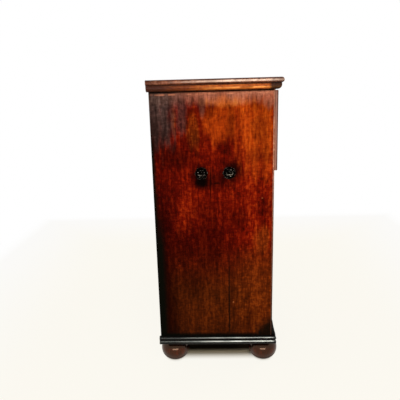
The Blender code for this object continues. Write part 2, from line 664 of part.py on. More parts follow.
def make_drawer(name, floor, opening):
    """One drawer: a dovetailed box, carried by an empty at the bottom of its front."""
    height = opening - SEAT - DRAWER_TOP_PLAY
    slide = bpy.data.objects.new(f"drawer_{name}_slide", None)
    slide.location = (0, SIDE_FRONT_Y, floor + SEAT)
    bpy.context.collection.objects.link(slide)
    back_top = height - DRAWER_BACK_DROP
    back_face = BOX_LENGTH - DRAWER_BACK_THICKNESS

    rebate_y = DRAWER_FRONT_THICKNESS - FRONT_REBATE
    front_profile = [
        (0, 0), (rebate_y, 0), (rebate_y, REBATE_TOP),
        (DRAWER_FRONT_THICKNESS, REBATE_TOP), (DRAWER_FRONT_THICKNESS, height), (0, height),
    ]
    front = run(front_profile, -BOX_HALF, BOX_HALF, along_x)
    front = make_object(f"drawer_{name}_front", front, "case_wood", slide)
    cuts = bmesh.new()
    socket_start = DRAWER_FRONT_THICKNESS + CUT_PAST
    add_sockets(cuts, DRAWER_FRONT_THICKNESS, socket_start, TAIL_LAP, REBATE_TOP, height)
    pull_height = height / 2
    pull_face = 0
    if name == "upper":
        pull_face = -FACING_THICKNESS - LIP_PROUD
        make_lipped_facing(slide, height, pull_height, pull_face)
    else:
        add_staple_holes(cuts, pull_height, pull_face)
    combine(front, cuts, "DIFFERENCE", slide)

    back = block((-BOX_HALF, BOX_HALF), (back_face, BOX_LENGTH), (REBATE_TOP, back_top))
    back = make_object(f"drawer_{name}_back", back, "drawer_wood", slide)
    cuts = bmesh.new()
    add_sockets(cuts, back_face, back_face - CUT_PAST, BOX_LENGTH + CUT_PAST, REBATE_TOP, back_top)
    combine(back, cuts, "DIFFERENCE", slide)

    outline = drawer_side_outline(height, back_top, back_face)
    for hand, sign in HANDS.items():
        side = run(outline, sign * BOX_INNER, sign * BOX_HALF, along_x)
        side = make_object(f"drawer_{name}_side_{hand}", side, "drawer_wood", slide)
        rebate_x = sorted((sign * (BOX_INNER - CUT_PAST), sign * (BOX_INNER + BOTTOM_REBATE)))
        rebate = block(rebate_x, (0, BOX_LENGTH), (-CUT_PAST, REBATE_TOP))
        combine(side, rebate, "DIFFERENCE", slide)

    panel_half = BOX_INNER + BOTTOM_REBATE - SEAT
    panel_y = (rebate_y + SEAT, BOX_LENGTH)
    panel = block((-panel_half, panel_half), panel_y, (DRAWER_BOTTOM_LIFT, BOTTOM_TOP))
    make_object(f"drawer_{name}_bottom", panel, "drawer_wood", slide)
    for hand, sign in HANDS.items():
        make_pull(f"{name}_{hand}", slide, (sign * PULL_SPACING / 2, pull_face - SEAT, pull_height))


def drawer_side_outline(height, back_top, back_face):
    """Outline of a drawer side in (y, z), with tails for the front and for the back."""
    shoulder = DRAWER_FRONT_THICKNESS + SEAT
    outline = [(shoulder, 0)]
    for corners in tails(DRAWER_FRONT_THICKNESS, shoulder, TAIL_LAP + SEAT, REBATE_TOP, height):
        outline += corners
    outline += [(shoulder, height), (back_face - SEAT, height)]
    for corners in reversed(tails(back_face, back_face - SEAT, BOX_LENGTH, REBATE_TOP, back_top)):
        outline += reversed(corners)
    return outline + [(back_face - SEAT, 0)]


def make_lipped_facing(slide, height, pull_height, pull_face):
    """Facing of the upper drawer: a tongue in the opening and a lip that stands out over the case."""
    lip_back = -FACING_THICKNESS - SEAT
    lip_half = INNER + LIP_SIDE
    lip_z = (-LIP_BELOW, height + DRAWER_TOP_PLAY + LIP_ABOVE)
    form = block((-lip_half, lip_half), (pull_face, lip_back), lip_z)
    rim = [edge for edge in form.edges if all(corner.co.y < lip_back - SEAT for corner in edge.verts)]
    bmesh.ops.bevel(form, geom=rim, offset=LIP_ROUND, segments=ARC_STEPS // 2, profile=ROUND, affect="EDGES")
    facing = make_object("drawer_upper_facing", form, "case_wood", slide)
    tongue = block((-BOX_HALF, BOX_HALF), (lip_back - CUT_PAST, -SEAT), (0, height))
    combine(facing, tongue, "UNION", slide)
    cuts = bmesh.new()
    add_staple_holes(cuts, pull_height, pull_face)
    combine(facing, cuts, "DIFFERENCE", slide)


def add_staple_holes(form, pull_height, pull_face):
    """Cutters for the legs of both staples of a drawer."""
    for sign in HANDS.values():
        for leg in HANDS.values():
            hole = bore_cutter(STAPLE_RADIUS + SEAT, -STAPLE_LEG - SEAT, CUT_PAST)
            place = (sign * PULL_SPACING / 2 + leg * STAPLE_HALF, pull_face, pull_height)
            bmesh.ops.transform(hole, matrix=Matrix.Translation(place) @ TO_FRONT, verts=hole.verts)
            add_form(form, hole)


def make_pull(name, slide, place):
    """Drop pull: a lobed plate with its staple, and the drop that swings on the staple."""
    plate = lobed_plate(PULL_PLATE_RADIUS, PULL_PLATE_EDGE, PULL_PLATE_DOME)
    bmesh.ops.transform(plate, matrix=TO_FRONT, verts=plate.verts)
    plate = make_object(f"pull_plate_{name}", plate, "dark_metal", slide, place, smooth=True)
    axis_y = SEAT - PULL_REACH
    bend_centre = (STAPLE_HALF - STAPLE_BEND, axis_y + STAPLE_BEND)
    bend = arc(bend_centre, (STAPLE_BEND, STAPLE_BEND), 0, -90, STAPLE_STEPS)
    half = [(STAPLE_HALF, STAPLE_LEG)] + bend
    path = half + [(-x, y) for x, y in reversed(half)]
    staple = tube([(x, y, 0) for x, y in path], [STAPLE_RADIUS] * len(path), STAPLE_SIDES)
    combine(plate, staple, "UNION", plate)

    head = arc((0, 0), (DROP_HEAD_RADIUS, DROP_HEAD_RADIUS), BALL_START, 90, DROP_STEPS)
    lower = arc((0, -DROP_BELLY), (DROP_RADIUS, DROP_LENGTH - DROP_BELLY), -90, 0, DROP_STEPS)
    shoulder = (DROP_RADIUS - DROP_NECK_RADIUS, (DROP_BELLY - DROP_HEAD_RADIUS) / 2)
    upper = arc((DROP_NECK_RADIUS, -DROP_BELLY), shoulder, 0, 90, DROP_STEPS)[1:]
    outline = [(0, -DROP_LENGTH)] + lower[1:] + upper + head[:-1] + [(0, DROP_HEAD_RADIUS)]
    axis = (place[0], place[1] + axis_y, place[2])
    drop = turned(outline, DROP_SEGMENTS)
    drop = make_object(f"drop_{name}", drop, "dark_metal", slide, axis, smooth=True)
    bore = bore_cutter(STAPLE_RADIUS + PIN_PLAY, -2 * DROP_HEAD_RADIUS, 2 * DROP_HEAD_RADIUS)
    bmesh.ops.transform(bore, matrix=TO_RIGHT, verts=bore.verts)
    combine(drop, bore, "DIFFERENCE", drop)


def build():
    """Empty the scene and make the chest."""
    for thing in list(bpy.data.objects):
        bpy.data.objects.remove(thing)
    for name in FINISHES:
        make_finish(name)
    make_sides()
    make_shelves()
    make_facings()
    make_back()
    make_rails()
    make_feet()
    make_top()
    make_mouldings()
    make_handles()
    for name, (floor, opening) in DRAWERS.items():
        make_drawer(name, floor, opening)


build()
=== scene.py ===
"""Looks of the campaign chest: finishes, worn edges, fine mouldings, turnings and castings, stage and camera.

Metres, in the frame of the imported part: +Z up, front towards -Y, the photographed side towards -X.
"""

import json
import math
from functools import partial, reduce

import bmesh
import bpy
from mathutils import Matrix, Vector, noise

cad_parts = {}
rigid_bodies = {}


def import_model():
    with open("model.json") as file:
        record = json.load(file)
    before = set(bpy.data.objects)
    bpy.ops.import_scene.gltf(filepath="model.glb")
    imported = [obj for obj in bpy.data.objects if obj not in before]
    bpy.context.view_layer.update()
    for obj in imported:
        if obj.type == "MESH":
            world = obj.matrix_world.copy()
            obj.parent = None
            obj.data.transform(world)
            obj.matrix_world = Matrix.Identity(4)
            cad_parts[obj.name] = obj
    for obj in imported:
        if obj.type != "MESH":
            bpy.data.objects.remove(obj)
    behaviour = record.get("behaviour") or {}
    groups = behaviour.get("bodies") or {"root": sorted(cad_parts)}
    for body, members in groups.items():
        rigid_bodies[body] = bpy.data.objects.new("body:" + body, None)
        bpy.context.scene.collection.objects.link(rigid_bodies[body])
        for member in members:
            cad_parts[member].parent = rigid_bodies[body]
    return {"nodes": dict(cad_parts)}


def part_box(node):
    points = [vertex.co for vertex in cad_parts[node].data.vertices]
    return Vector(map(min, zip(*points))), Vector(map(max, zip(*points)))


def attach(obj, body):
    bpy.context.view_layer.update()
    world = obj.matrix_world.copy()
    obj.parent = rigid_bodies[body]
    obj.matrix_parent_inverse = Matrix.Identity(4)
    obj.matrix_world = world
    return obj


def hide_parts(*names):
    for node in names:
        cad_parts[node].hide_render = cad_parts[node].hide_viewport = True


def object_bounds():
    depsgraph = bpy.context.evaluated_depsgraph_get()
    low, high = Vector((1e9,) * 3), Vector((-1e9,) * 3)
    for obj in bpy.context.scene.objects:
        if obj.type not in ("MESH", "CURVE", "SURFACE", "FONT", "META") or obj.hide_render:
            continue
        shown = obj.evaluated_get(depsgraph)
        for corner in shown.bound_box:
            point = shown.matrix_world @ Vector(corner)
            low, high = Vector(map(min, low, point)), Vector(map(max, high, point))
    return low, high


# Camera, from the photograph's perspective
IMAGE_SIZE = 400  # pixels
FOCAL_LENGTH = 429.65  # pixels
SENSOR_WIDTH = 36.0  # millimetres
CAMERA_OUT = 1.4592  # from the near side of the case
CAMERA_BACK = 0.2074  # behind the front of the case
CAMERA_UP = 1.0096
CAMERA_PITCH = math.radians(13.868)  # below the horizon
CAMERA_YAW = math.radians(1.989)  # towards the back
CAMERA_ROLL = math.radians(-1.521)

# Stage
FLOOR_SIZE = 24.0
FLOOR_TONE = (198, 182, 150)
# Painted shadow: a dark tone of the floor under the chest
FLOOR_PAINTED_SHADOW = (40, 32, 20)
FLOOR_SHADOW_REACH = (-0.128, -0.098)  # from the sides: where the floor under the chest is dark and has its own tone, a painted shadow
FLOOR_SHADOW_ENDS = 0.055  # how much nearer that painted shadow comes to the front and back
FLOOR_GLOW = (255, 253, 246)
FLOOR_LIFT = 0.92  # share of that glow that the camera sees on the floor round the chest
FLOOR_CLEAR = (-0.100, -0.046)  # from the chest: where that lift starts and is full
FLOOR_FEET = (0.019, 0.044)  # from the axis of a foot: the same
FLOOR_WHITE = (0.40, 1.30)  # from the chest: where the floor turns to plain white
SKY_FILL = (0.03, 0.70)  # level of the light from all round, low down and overhead
SKY_RISE = 0.22  # sine of the elevation from which it grows
LAMPS = {
    # name: place, point it faces, length and height, power in watts
    "key": ((-2.30, -0.45, 2.60), (-0.40, 0.0, 0.62), (1.50, 0.30), 21.0),
    "window": ((-2.60, -0.35, 2.05), (-0.40, 0.0, 0.60), (1.10, 0.40), 21.0),
    "glint": ((-2.60, 0.0, 0.44), (-0.40, 0.0, 0.10), (1.80, 0.40), 26.0),
    "front": ((0.90, -2.60, 1.80), (0.0, -0.2, 0.55), (1.40, 0.30), 26.0),
    "right": ((2.60, 0.60, 1.80), (0.4, 0.0, 0.55), (1.40, 0.30), 24.0),
    "rear": ((-0.80, 2.70, 1.80), (0.0, 0.2, 0.55), (1.40, 0.30), 24.0),
}
GLOSSY_LAMPS = ("glint",)  # those that shine in polish and metal

# Names that repeat
HANDS = (("left", -1), ("right", 1))  # with the way each lies along X
DRAWERS = ("upper", "middle", "lower")
FEET = ("front_left", "front_right", "rear_left", "rear_right")

# Grain, as the size of a streak across and along the wood
BANDS = (0.040, 0.60)
STREAKS = (0.0075, 0.055)
FIBRES = (0.0021, 0.026)
FLECKS = (0.0034, 0.017)
PORES = (0.0008, 0.013)
RIPPLES = (0.016, 0.0052)
MOTTLE = (0.011, 0.015)
FIGURED = ((BANDS, 0.25), (STREAKS, 0.25), (FIBRES, 0.10), (RIPPLES, 0.16), (MOTTLE, 0.24))  # shares of each
PLAIN = ((BANDS, 0.34), (STREAKS, 0.40), (FIBRES, 0.26))
CLOUDS = 0.22  # size of the patches in the patina
FLOW = 0.012  # how far the grain wanders sideways
FLOW_SIZE = (0.30, 1.20)
BOARD_SHIFT = (17.0, 23.0, 11.0)  # how far apart two boards lie in the same timber
NOISE_MIDDLE = (0.5, 0.5, 0.5)
COARSE = 1.0  # octaves of noise above the first
MEDIUM = 2.0
FINE = 3.0
TONE_STOPS = (0.37, 0.50, 0.63)
FLECK_CUT = (0.54, 0.68)  # level of the noise at which a fleck starts, and is full
PORE_CUT = (0.56, 0.70)
PITS = (0.6, 0.5)  # shares of dark flecks and pores
SIDE_PITS = (0.36, 0.26)
RAW_PITS = 0.3
PORE_SINK = 0.7  # parts of the relief
FLECK_SINK = 0.3
FIBRE_RISE = 0.3
CLOUD_DULL = 0.16  # how much the roughness changes with the patina
PORE_DULL = 0.2

# Patches and arrises
PATCH_CUTS = ((0.44, 0.66), (0.56, 0.40))
DIRT_CUT = (0.50, 0.74, 0.35)
EDGE_REACH = 0.004
EDGE_OPEN = (0.86, 0.55)  # how open the inside of the piece is where an arris starts, and is full
EDGE_SAMPLES = 6
EDGE_PATCHES = (0.34, 0.60)
CORE = 0.25  # share of the reach of a line or a spot that is full

# Colours as they look, from dark to light
TONES = {
    "red": ((40, 3, 1), (84, 8, 2), (138, 31, 6)),
    "brown": ((34, 11, 2), (63, 22, 4), (98, 39, 8)),
    "russet": ((54, 18, 3), (104, 38, 7), (164, 72, 18)),
    "orange": ((104, 27, 4), (161, 56, 9), (200, 85, 17)),
    "scarlet": ((48, 4, 1), (104, 15, 3), (164, 50, 11)),
    "grey": ((34, 26, 24), (61, 50, 46), (94, 79, 74)),
    # tone of the painted sheen under the cornice
    "painted_sheen": ((114, 69, 53), (160, 98, 74), (192, 126, 101)),
    "cornice": ((128, 52, 15), (194, 96, 32), (228, 138, 60)),
    "top": ((72, 30, 16), (122, 66, 40), (176, 122, 92)),
    "facing": ((90, 54, 42), (152, 104, 86), (194, 148, 128)),
    "black": ((4, 6, 5), (9, 12, 10), (20, 23, 19)),
    "turned": ((22, 4, 1), (44, 9, 1), (74, 18, 3)),
    "drawer": ((112, 82, 52), (152, 118, 80), (182, 148, 106)),
    "back": ((66, 48, 35), (100, 76, 56), (132, 104, 80)),
    "under": ((30, 20, 14), (50, 36, 26), (74, 56, 42)),
    "metal": ((4, 3, 2), (12, 10, 8), (150, 142, 128)),
}
WHITE = (255, 255, 255)
WARM_SHEEN = (255, 178, 132)
FOOT_SHEEN = (255, 204, 168)
# Near-black of soot and patina, and of painted shade such as the cornice's shadow on the side
SOOT_AND_SHADE = (5, 8, 5)
# Painted shade in the creases under the nosing and along the cornice
PAINTED_CREASE_SHADE = (46, 16, 5)
DEEP = (15, 1, 1)
# Near-black of stains, and of the painted shade on the feet in under the base
BLACK_STAIN_AND_SHADE = (4, 1, 1)
WORN_TONE = (150, 84, 46)
PORE_TONE = (24, 5, 3)
# Painted highlight along the beads of the base
PAINTED_BEAD_HIGHLIGHT = (228, 232, 224)
# Pale of the nosing: wear and a painted highlight
RUBBED_NOSE_AND_HIGHLIGHT = (252, 214, 190)
# Painted highlight at the top of the side, under the cornice's shadow
PAINTED_TOP_HIGHLIGHT = (214, 134, 100)
# Painted highlight along the crest of the cornice
PAINTED_CREST_HIGHLIGHT = (255, 164, 84)
NOSE_SHADE = (38, 18, 14)
END_GRAIN = (146, 106, 94)
FACING_SHADE = (46, 22, 15)
CORNICE_SHADE = (66, 26, 11)
DUST = (62, 46, 32)
FOOT_SHADE = (18, 9, 4)

# Woods and surfaces
WOODS = {
    # name: first tone and the tones of two kinds of patch, shares of these, share of the worn arrises
    "case": (("scarlet", "orange", "brown"), (0.35, 0.3), 0.5),
    "cornice": (("cornice", "orange", "brown"), (0.5, 0.3), 0.08),
    "base": (("black", "black", "black"), (0.0, 0.0), 0.0),
    "facing": (("facing", "cornice", "brown"), (0.3, 0.3), 0.3),
    "top": (("top", "russet", "brown"), (0.5, 0.6), 0.2),
}
SURFACES = {
    # name: roughness, depth of the relief, specular level and its tint
    "case": (0.36, 0.0003, 0.05, WARM_SHEEN),
    "left_side": (0.36, 0.0003, 0.009, WARM_SHEEN),
    "cornice": (0.28, 0.0003, 0.08, WHITE),
    "base": (0.16, 0.00005, 0.07, WHITE),
    "facing": (0.34, 0.0003, 0.12, WHITE),
    "top": (0.26, 0.0003, 0.14, WHITE),
    "raw": (0.72, 0.0004, 0.2, WHITE),
    "turned": (0.11, 0.00002, 0.44, FOOT_SHEEN),
}

# Marks: fades (start, end, share if not 1), lines (middle, reach, share), patches (size, cut, least)
# Painted shade in the groove under the nosing and along the foot of the cornice
CORNICE_GROOVE = (-0.0040, -0.0012, 0.85)  # from the top of the cornice
CORNICE_UNDER = (0.0048, 0.0010, 0.85)  # from its foot
CORNICE_TIP = (-0.060, -0.020, 0.92)  # from its end
CORNICE_TIP_BACK = (0.027, 0.013)
# Painted highlight along the crest of the ovolo, towards the front
CORNICE_CREST = (0.0078, 0.0042, 0.8)  # from its foot
CORNICE_CREST_BACK = (0.28, 0.15)
CORNICE_PATCHES = ((0.02, 0.05), (0.30, 0.60), 0.0)
CORNICE_REAR = (0.22, 0.40, 0.85)
CORNICE_REAR_WANDER = 0.10
CORNICE_REAR_END = (0.33, 0.39, 0.7)
# Painted shade under the nosing, and the pale line above it: wear and a painted highlight
NOSE_UNDER = (0.0050, 0.0005, 0.85)  # from the underside of the top
NOSE_LINE = (0.0092, 0.0046)
NOSE_ARRIS = (0.0118, 0.0150, 0.5)
NOSE_RIM = (0.0110, 0.0050)  # from the edge of the top
NOSE_PATCHES = ((0.03, 0.06), (0.42, 0.62), 0.6)
NOSE_BACK = (0.40, 0.10)
NOSE_TIP = (0.060, 0.015, 0.55)  # from its end
NOSE_TIP_BACK = (0.026, 0.010)
# Painted highlight lines along the crests of the beads
BEAD_CRESTS = ((0.72, 0.0031, 1.0), (0.74, 0.0020, 0.7))  # share of the bead's height, reach and share
BEAD_BACK = (0.38, 0.10, 0.86)
BEAD_LEAST = 0.10  # share that is left at the back
BEAD_FRONT = (-0.012, 0.006)
BEAD_PATCHES = ((0.02, 0.05), (0.36, 0.60), 0.6)
FACING_LOW = (0.80, 0.40, 0.8)
FACING_FOOT = (0.30, 0.16, 0.9)
LIP_END = (0.6, 0.9, 0.85)  # how squarely a face looks sideways
LIP_ARRIS = (0.0055, 0.0015)  # from its front

# Zones of the photographed side, as fades behind the front of the case and above the floor
LOW_BROWN = (0.54, 0.28)
# Lighter towards the front of the side, low down and higher up: painted light
LOW_FRONT_LIGHT = ((0.17, 0.06, 0.5), (0.52, 0.38))
FRONT_LIGHT = ((0.20, 0.08), (0.45, 0.52))
# Painted sheen under the cornice: reddish at the front, grey at the rear, its lower edge wandering
PAINTED_SHEEN_BAND = ((0.70, 0.06, 0.9), (0.965, 1.015))
PAINTED_SHEEN_REAR = ((0.24, 0.38, 0.8), (0.95, 1.00))
PAINTED_SHEEN_WANDER = 0.030
REAR_BAND = ((0.300, 0.392, 0.85), (0.84, 0.54))
REAR_EDGE = ((0.380, 0.404, 0.95), (0.66, 0.46))
REAR_RIM = ((0.402, 0.416, 0.95), (0.92, 0.84))
# Darker along the bottom edge and towards the bottom
BOTTOM_EDGE = (0.142, 0.122, 0.95)
BOTTOM_DARKER = (0.200, 0.122, 0.285)
CORNER = ((0.105, 0.045, 0.95), (0.236, 0.166))
CORNER_SLOPE = 0.9
# Painted shadow of the cornice at the top of the side, and a painted highlight just under it
TOP_SHADOW = (1.0128, 1.0168)
TOP_HIGHLIGHT = (1.0092, 0.0036, 0.5)
TOP_HIGHLIGHT_PATCHES = (-0.10, 0.20)
JOINT_LINE = (0.220, 0.0030, 0.85)
JOINT_START = (0.615, 0.665)
JOINT_END = (0.780, 0.740)
CRACK = (0.159, 0.128, 0.345)  # behind the front, and up from and to
CRACK_DARK = (0.004, 0.8)  # reach and share of the dark line along the crack
CRACK_DARK_UP = (0.13, -0.04)  # from the end of the crack
RAGGED_SIZE = (0.016, 0.07)
RAGGED = 0.6  # how far the outline of a spot wanders, as a share of its reach
SMOOTH = 0.35  # share of that in the smoother ones

# Spots on the photographed side: behind the front, above the floor, reach back and reach up
DRIPS = ((0.312, 0.935, 0.024, 0.085), (0.243, 0.972, 0.018, 0.055))
SPOTS = {
    # name: share, then the spots
    "red": (1.0, ((0.310, 0.610, 0.056, 0.10), (0.100, 0.690, 0.080, 0.12))),
    "russet": (0.75, ((0.040, 0.500, 0.046, 0.07), (0.340, 0.930, 0.012, 0.07), (0.275, 0.890, 0.036, 0.09))),
    "orange": (0.82, (
        (0.060, 0.890, 0.095, 0.21),
        (0.180, 0.925, 0.100, 0.105),
        (0.110, 0.950, 0.030, 0.06),
    )),
    # painted sheen under the cornice
    "painted_glow": (0.8, ((0.165, 0.984, 0.105, 0.026),)),
    "painted_sheen": (0.6, ((0.018, 0.992, 0.034, 0.040),)),
    "grey": (0.85, ((0.405, 0.940, 0.105, 0.15),)),
    "drips": (0.5, DRIPS),
    "shade": (0.4, DRIPS + (
        (0.150, 0.900, 0.020, 0.10),
        (0.125, 0.575, 0.050, 0.06),
        (0.290, 0.350, 0.130, 0.12),
        (0.035, 0.620, 0.040, 0.07),
        (0.215, 0.955, 0.030, 0.05),
        (0.026, 0.966, 0.038, 0.036),
        (0.050, 0.890, 0.044, 0.10),
        (0.290, 0.850, 0.055, 0.06),
        (0.230, 0.590, 0.105, 0.075),
        (0.250, 0.395, 0.100, 0.13),
        (0.352, 0.925, 0.028, 0.08),
        (0.062, 0.975, 0.036, 0.05),
        (0.050, 0.805, 0.060, 0.05),
        (0.075, 0.190, 0.050, 0.06),
    )),
    "dark": (0.62, (
        (0.235, 0.490, 0.120, 0.17),
        (0.330, 0.470, 0.090, 0.12),
        (0.205, 0.715, 0.090, 0.045),
        (0.350, 0.800, 0.120, 0.070),
        (0.400, 0.870, 0.050, 0.12),
    )),
    "halo": (0.92, ((0.142, 0.752, 0.050, 0.052), (0.252, 0.735, 0.046, 0.054))),
    "stain": (1.0, ((0.250, 0.713, 0.044, 0.038),)),
    "rub": (0.85, ((0.200, 0.708, 0.017, 0.0045),)),
    "pale": (0.6, ((0.041, 0.652, 0.004, 0.004), (0.145, 0.257, 0.004, 0.005))),
}

# Open crack and nail holes
CRACK_WIDTH = 0.0022
CRACK_DEPTH = 0.007
CRACK_TIP = 0.02  # least share of the width, squared
CRACK_WANDER = 0.0008
CRACK_WAVES = 40  # per metre
CRACK_STEPS = 24
NAIL_HOLES = ((0.281, 0.999), (0.159, 1.001), (0.147, 1.000))  # behind the front and above the floor
NAIL_HOLE_RADIUS = 0.0017
NAIL_HOLE_DEPTH = 0.004
NAIL_HOLE_SEGMENTS = 16

# Edges and wear
EDGE_ROUND = 0.0009
EDGE_STEPS = 2
EDGE_ANGLE = math.radians(40)
SMOOTH_ANGLE = math.radians(38)
SHADE_WEIGHT = 100
WELD = 1e-5
SPIN_WELD = 1e-6
WEAR_DEPTH = 0.0007
WEAR_SIZE = 0.045
WEAR_FINER = 4  # how much smaller the fine wear is
WEAR_MEAN = 0.35
WEAR_SHARES = (0.45, 0.25)  # broad and fine
REED_WEAR = 0.0004
NOSE_WEAR = 0.0011
NOSE_SEED = 7
CUT_SPACING = 0.012  # between two rings of points along a moulding

# Mouldings
CURVE_STEPS = 14
CORNICE_FOOT = 0.005
CORNICE_FILLET = 0.006
BASE_GROOVE = 0.008
LOWER_BEAD_SHARE = 0.587  # of the height of the base moulding
CAVETTO_LIP = 0.0015
CAVETTO_HOLLOW = 0.0012
REED_DEPTH = 0.004
NOSE_FLAT = 0.001
NOSE_PROFILE = 0.5  # round

# Feet
FOOT_SOLE = 0.019
FOOT_BELLY = 0.0405
FOOT_NECK = 0.026
FOOT_NECK_UP = 0.0785
FOOT_COLLAR = 0.038
FOOT_UP = 0.0885
SPIGOT = 0.014
FOOT_GRIME_AND_SHADE = (0.040, 0.012)  # height at which the polish starts to dull and to darken, from grime and painted shade, and is dull
FOOT_TOP_SHADE = (0.052, 0.066)  # where painted shade darkens it towards the base
FOOT_DARKENING = 0.8  # share of both in the colour
FOOT_DULL = 0.7  # how much the roughness grows
FOOT_DEEP = (0.022, 0.046, 0.95)  # how far in under the base it starts to lose the light, and has lost it
FOOT_DEEP_UP = (0.036, 0.054)  # between which heights that happens
FOOT_SEGMENTS = 72

# Castings
METAL_GRIME = (180.0, 4.0)  # patches per metre, and octaves
METAL_PITS = 900.0  # per metre
METAL_RELIEF = 0.00012
METAL_SPECULAR = 0.5
METAL_TONE = (0.66, 0.07)  # growth with the grime, and the least
METAL_ROUGH = (0.36, 0.04)
METAL_EDGE = 0.0022
METAL_EDGE_LIFT = 0.13
# Lighter metal on the downward faces of the eyes on the left side: a painted highlight
EYE_HIGHLIGHT_OUT = (-0.0080, -0.0105, 0.19)  # from the face of the side
EYE_HIGHLIGHT_UNDER = (-0.05, -0.40)  # how far a face looks down
LOBES = 8
LOBE_DEPTH = 0.09
LOBE_STEPS = 10
PLATE_RINGS = 20
PETAL_RISE = 0.22
RELIEF = ((1.0, 0.0), (0.93, 0.36), (0.78, 0.60), (0.60, 0.20), (0.50, 0.30), (0.40, 1.0), (0.0, 1.0))
ROSETTE = (0.0225, 0.0014, 0.0046)  # radius, edge and dome
PULL_PLATE = (0.021, 0.0010, 0.0034)
EYE_RADIUS = 0.0064  # barrel of the eye, at its middle
EYE_END = 0.0050
EYE_HALF = 0.0105
EYE_REACH = 0.014  # bail axis to the face of the side
EYE_COLLAR = (0.0058, 0.0064)  # radius and height
EYE_SHANK = (0.0035, 0.009)  # radius and length
EYE_CHAMFER = 0.0006
EYE_BORE = 0.0035
BALL_START = -60  # degrees
TURN_SEGMENTS = 40
BAIL_PIN = 0.0030
BAIL_GRIP = 0.0046
BAIL_LEG = 0.0657  # middle of the bail to a leg
BAIL_TIP = 0.0357  # middle of the bail to the end of a pin
BAIL_DROP = 0.040
BAIL_SHOULDER = 0.007
BAIL_CORNER = 0.022
PULL_REACH = 0.0095  # drop axis to the face behind the plate
STAPLE_WIRE = 0.0016
STAPLE_LEG = 0.012
STAPLE_BEND = 0.0026
DROP_HEAD = 0.0043
DROP_NECK = 0.0022
DROP_RADIUS = 0.0066
DROP_LENGTH = 0.040
DROP_BELLY = 0.029
DROP_BORE = 0.0021
TUBE_SIDES = 20
SEAT = 0.0003  # gap under a plate

# Nails in the back boards
NAIL_LEVELS = ("top_rail", "dust_board_upper", "dust_board_lower", "bottom_board")
NAIL_RADIUS = 0.0026
NAIL_RISE = 0.0007
NAIL_PITCH = 0.095
NAIL_INSET = 0.025
NAIL_STEPS = 4
NAIL_SEGMENTS = 12


def linear(tone):
    """Linear colour of an sRGB colour written from 0 to 255."""
    shares = [level / 255 for level in tone]
    return (*[s / 12.92 if s <= 0.04045 else ((s + 0.055) / 1.055) ** 2.4 for s in shares], 1.0)


def case_front():
    """Y of the front of the case."""
    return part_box("facing_left")[0].y


def middle(node):
    """Middle of a node's box."""
    low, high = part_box(node)
    return (low + high) / 2


def assign(thing, settings):
    """Set several properties of a thing."""
    for key, setting in settings.items():
        setattr(thing, key, setting)


def arithmetic(operation):
    """Method of a field for a sign such as plus."""
    return lambda field, other: field.graph.maths(operation, field, other)


class Field:
    """Number that varies over a surface: sums and products of it add nodes."""

    __add__ = arithmetic("ADD")
    __sub__ = arithmetic("SUBTRACT")
    __mul__ = arithmetic("MULTIPLY")
    __truediv__ = arithmetic("DIVIDE")

    def __init__(self, graph, socket):
        self.graph = graph
        self.socket = socket

    def __rsub__(self, other):
        return self.graph.maths("SUBTRACT", other, self)

    def __abs__(self):
        return self.graph.maths("ABSOLUTE", self)

    def fade(self, start, end, share=1.0):
        """0 before start, the share past end, smooth between; start may lie above end."""
        values = {"Value": self, "From Min": start, "From Max": end, "To Max": share}
        return self.graph.field("ShaderNodeMapRange", values, "Result", interpolation_type="SMOOTHSTEP")

    def line(self, place, reach, share=1.0):
        """Soft line where the number is near a place."""
        return abs(self - place).fade(reach, reach * CORE, share)


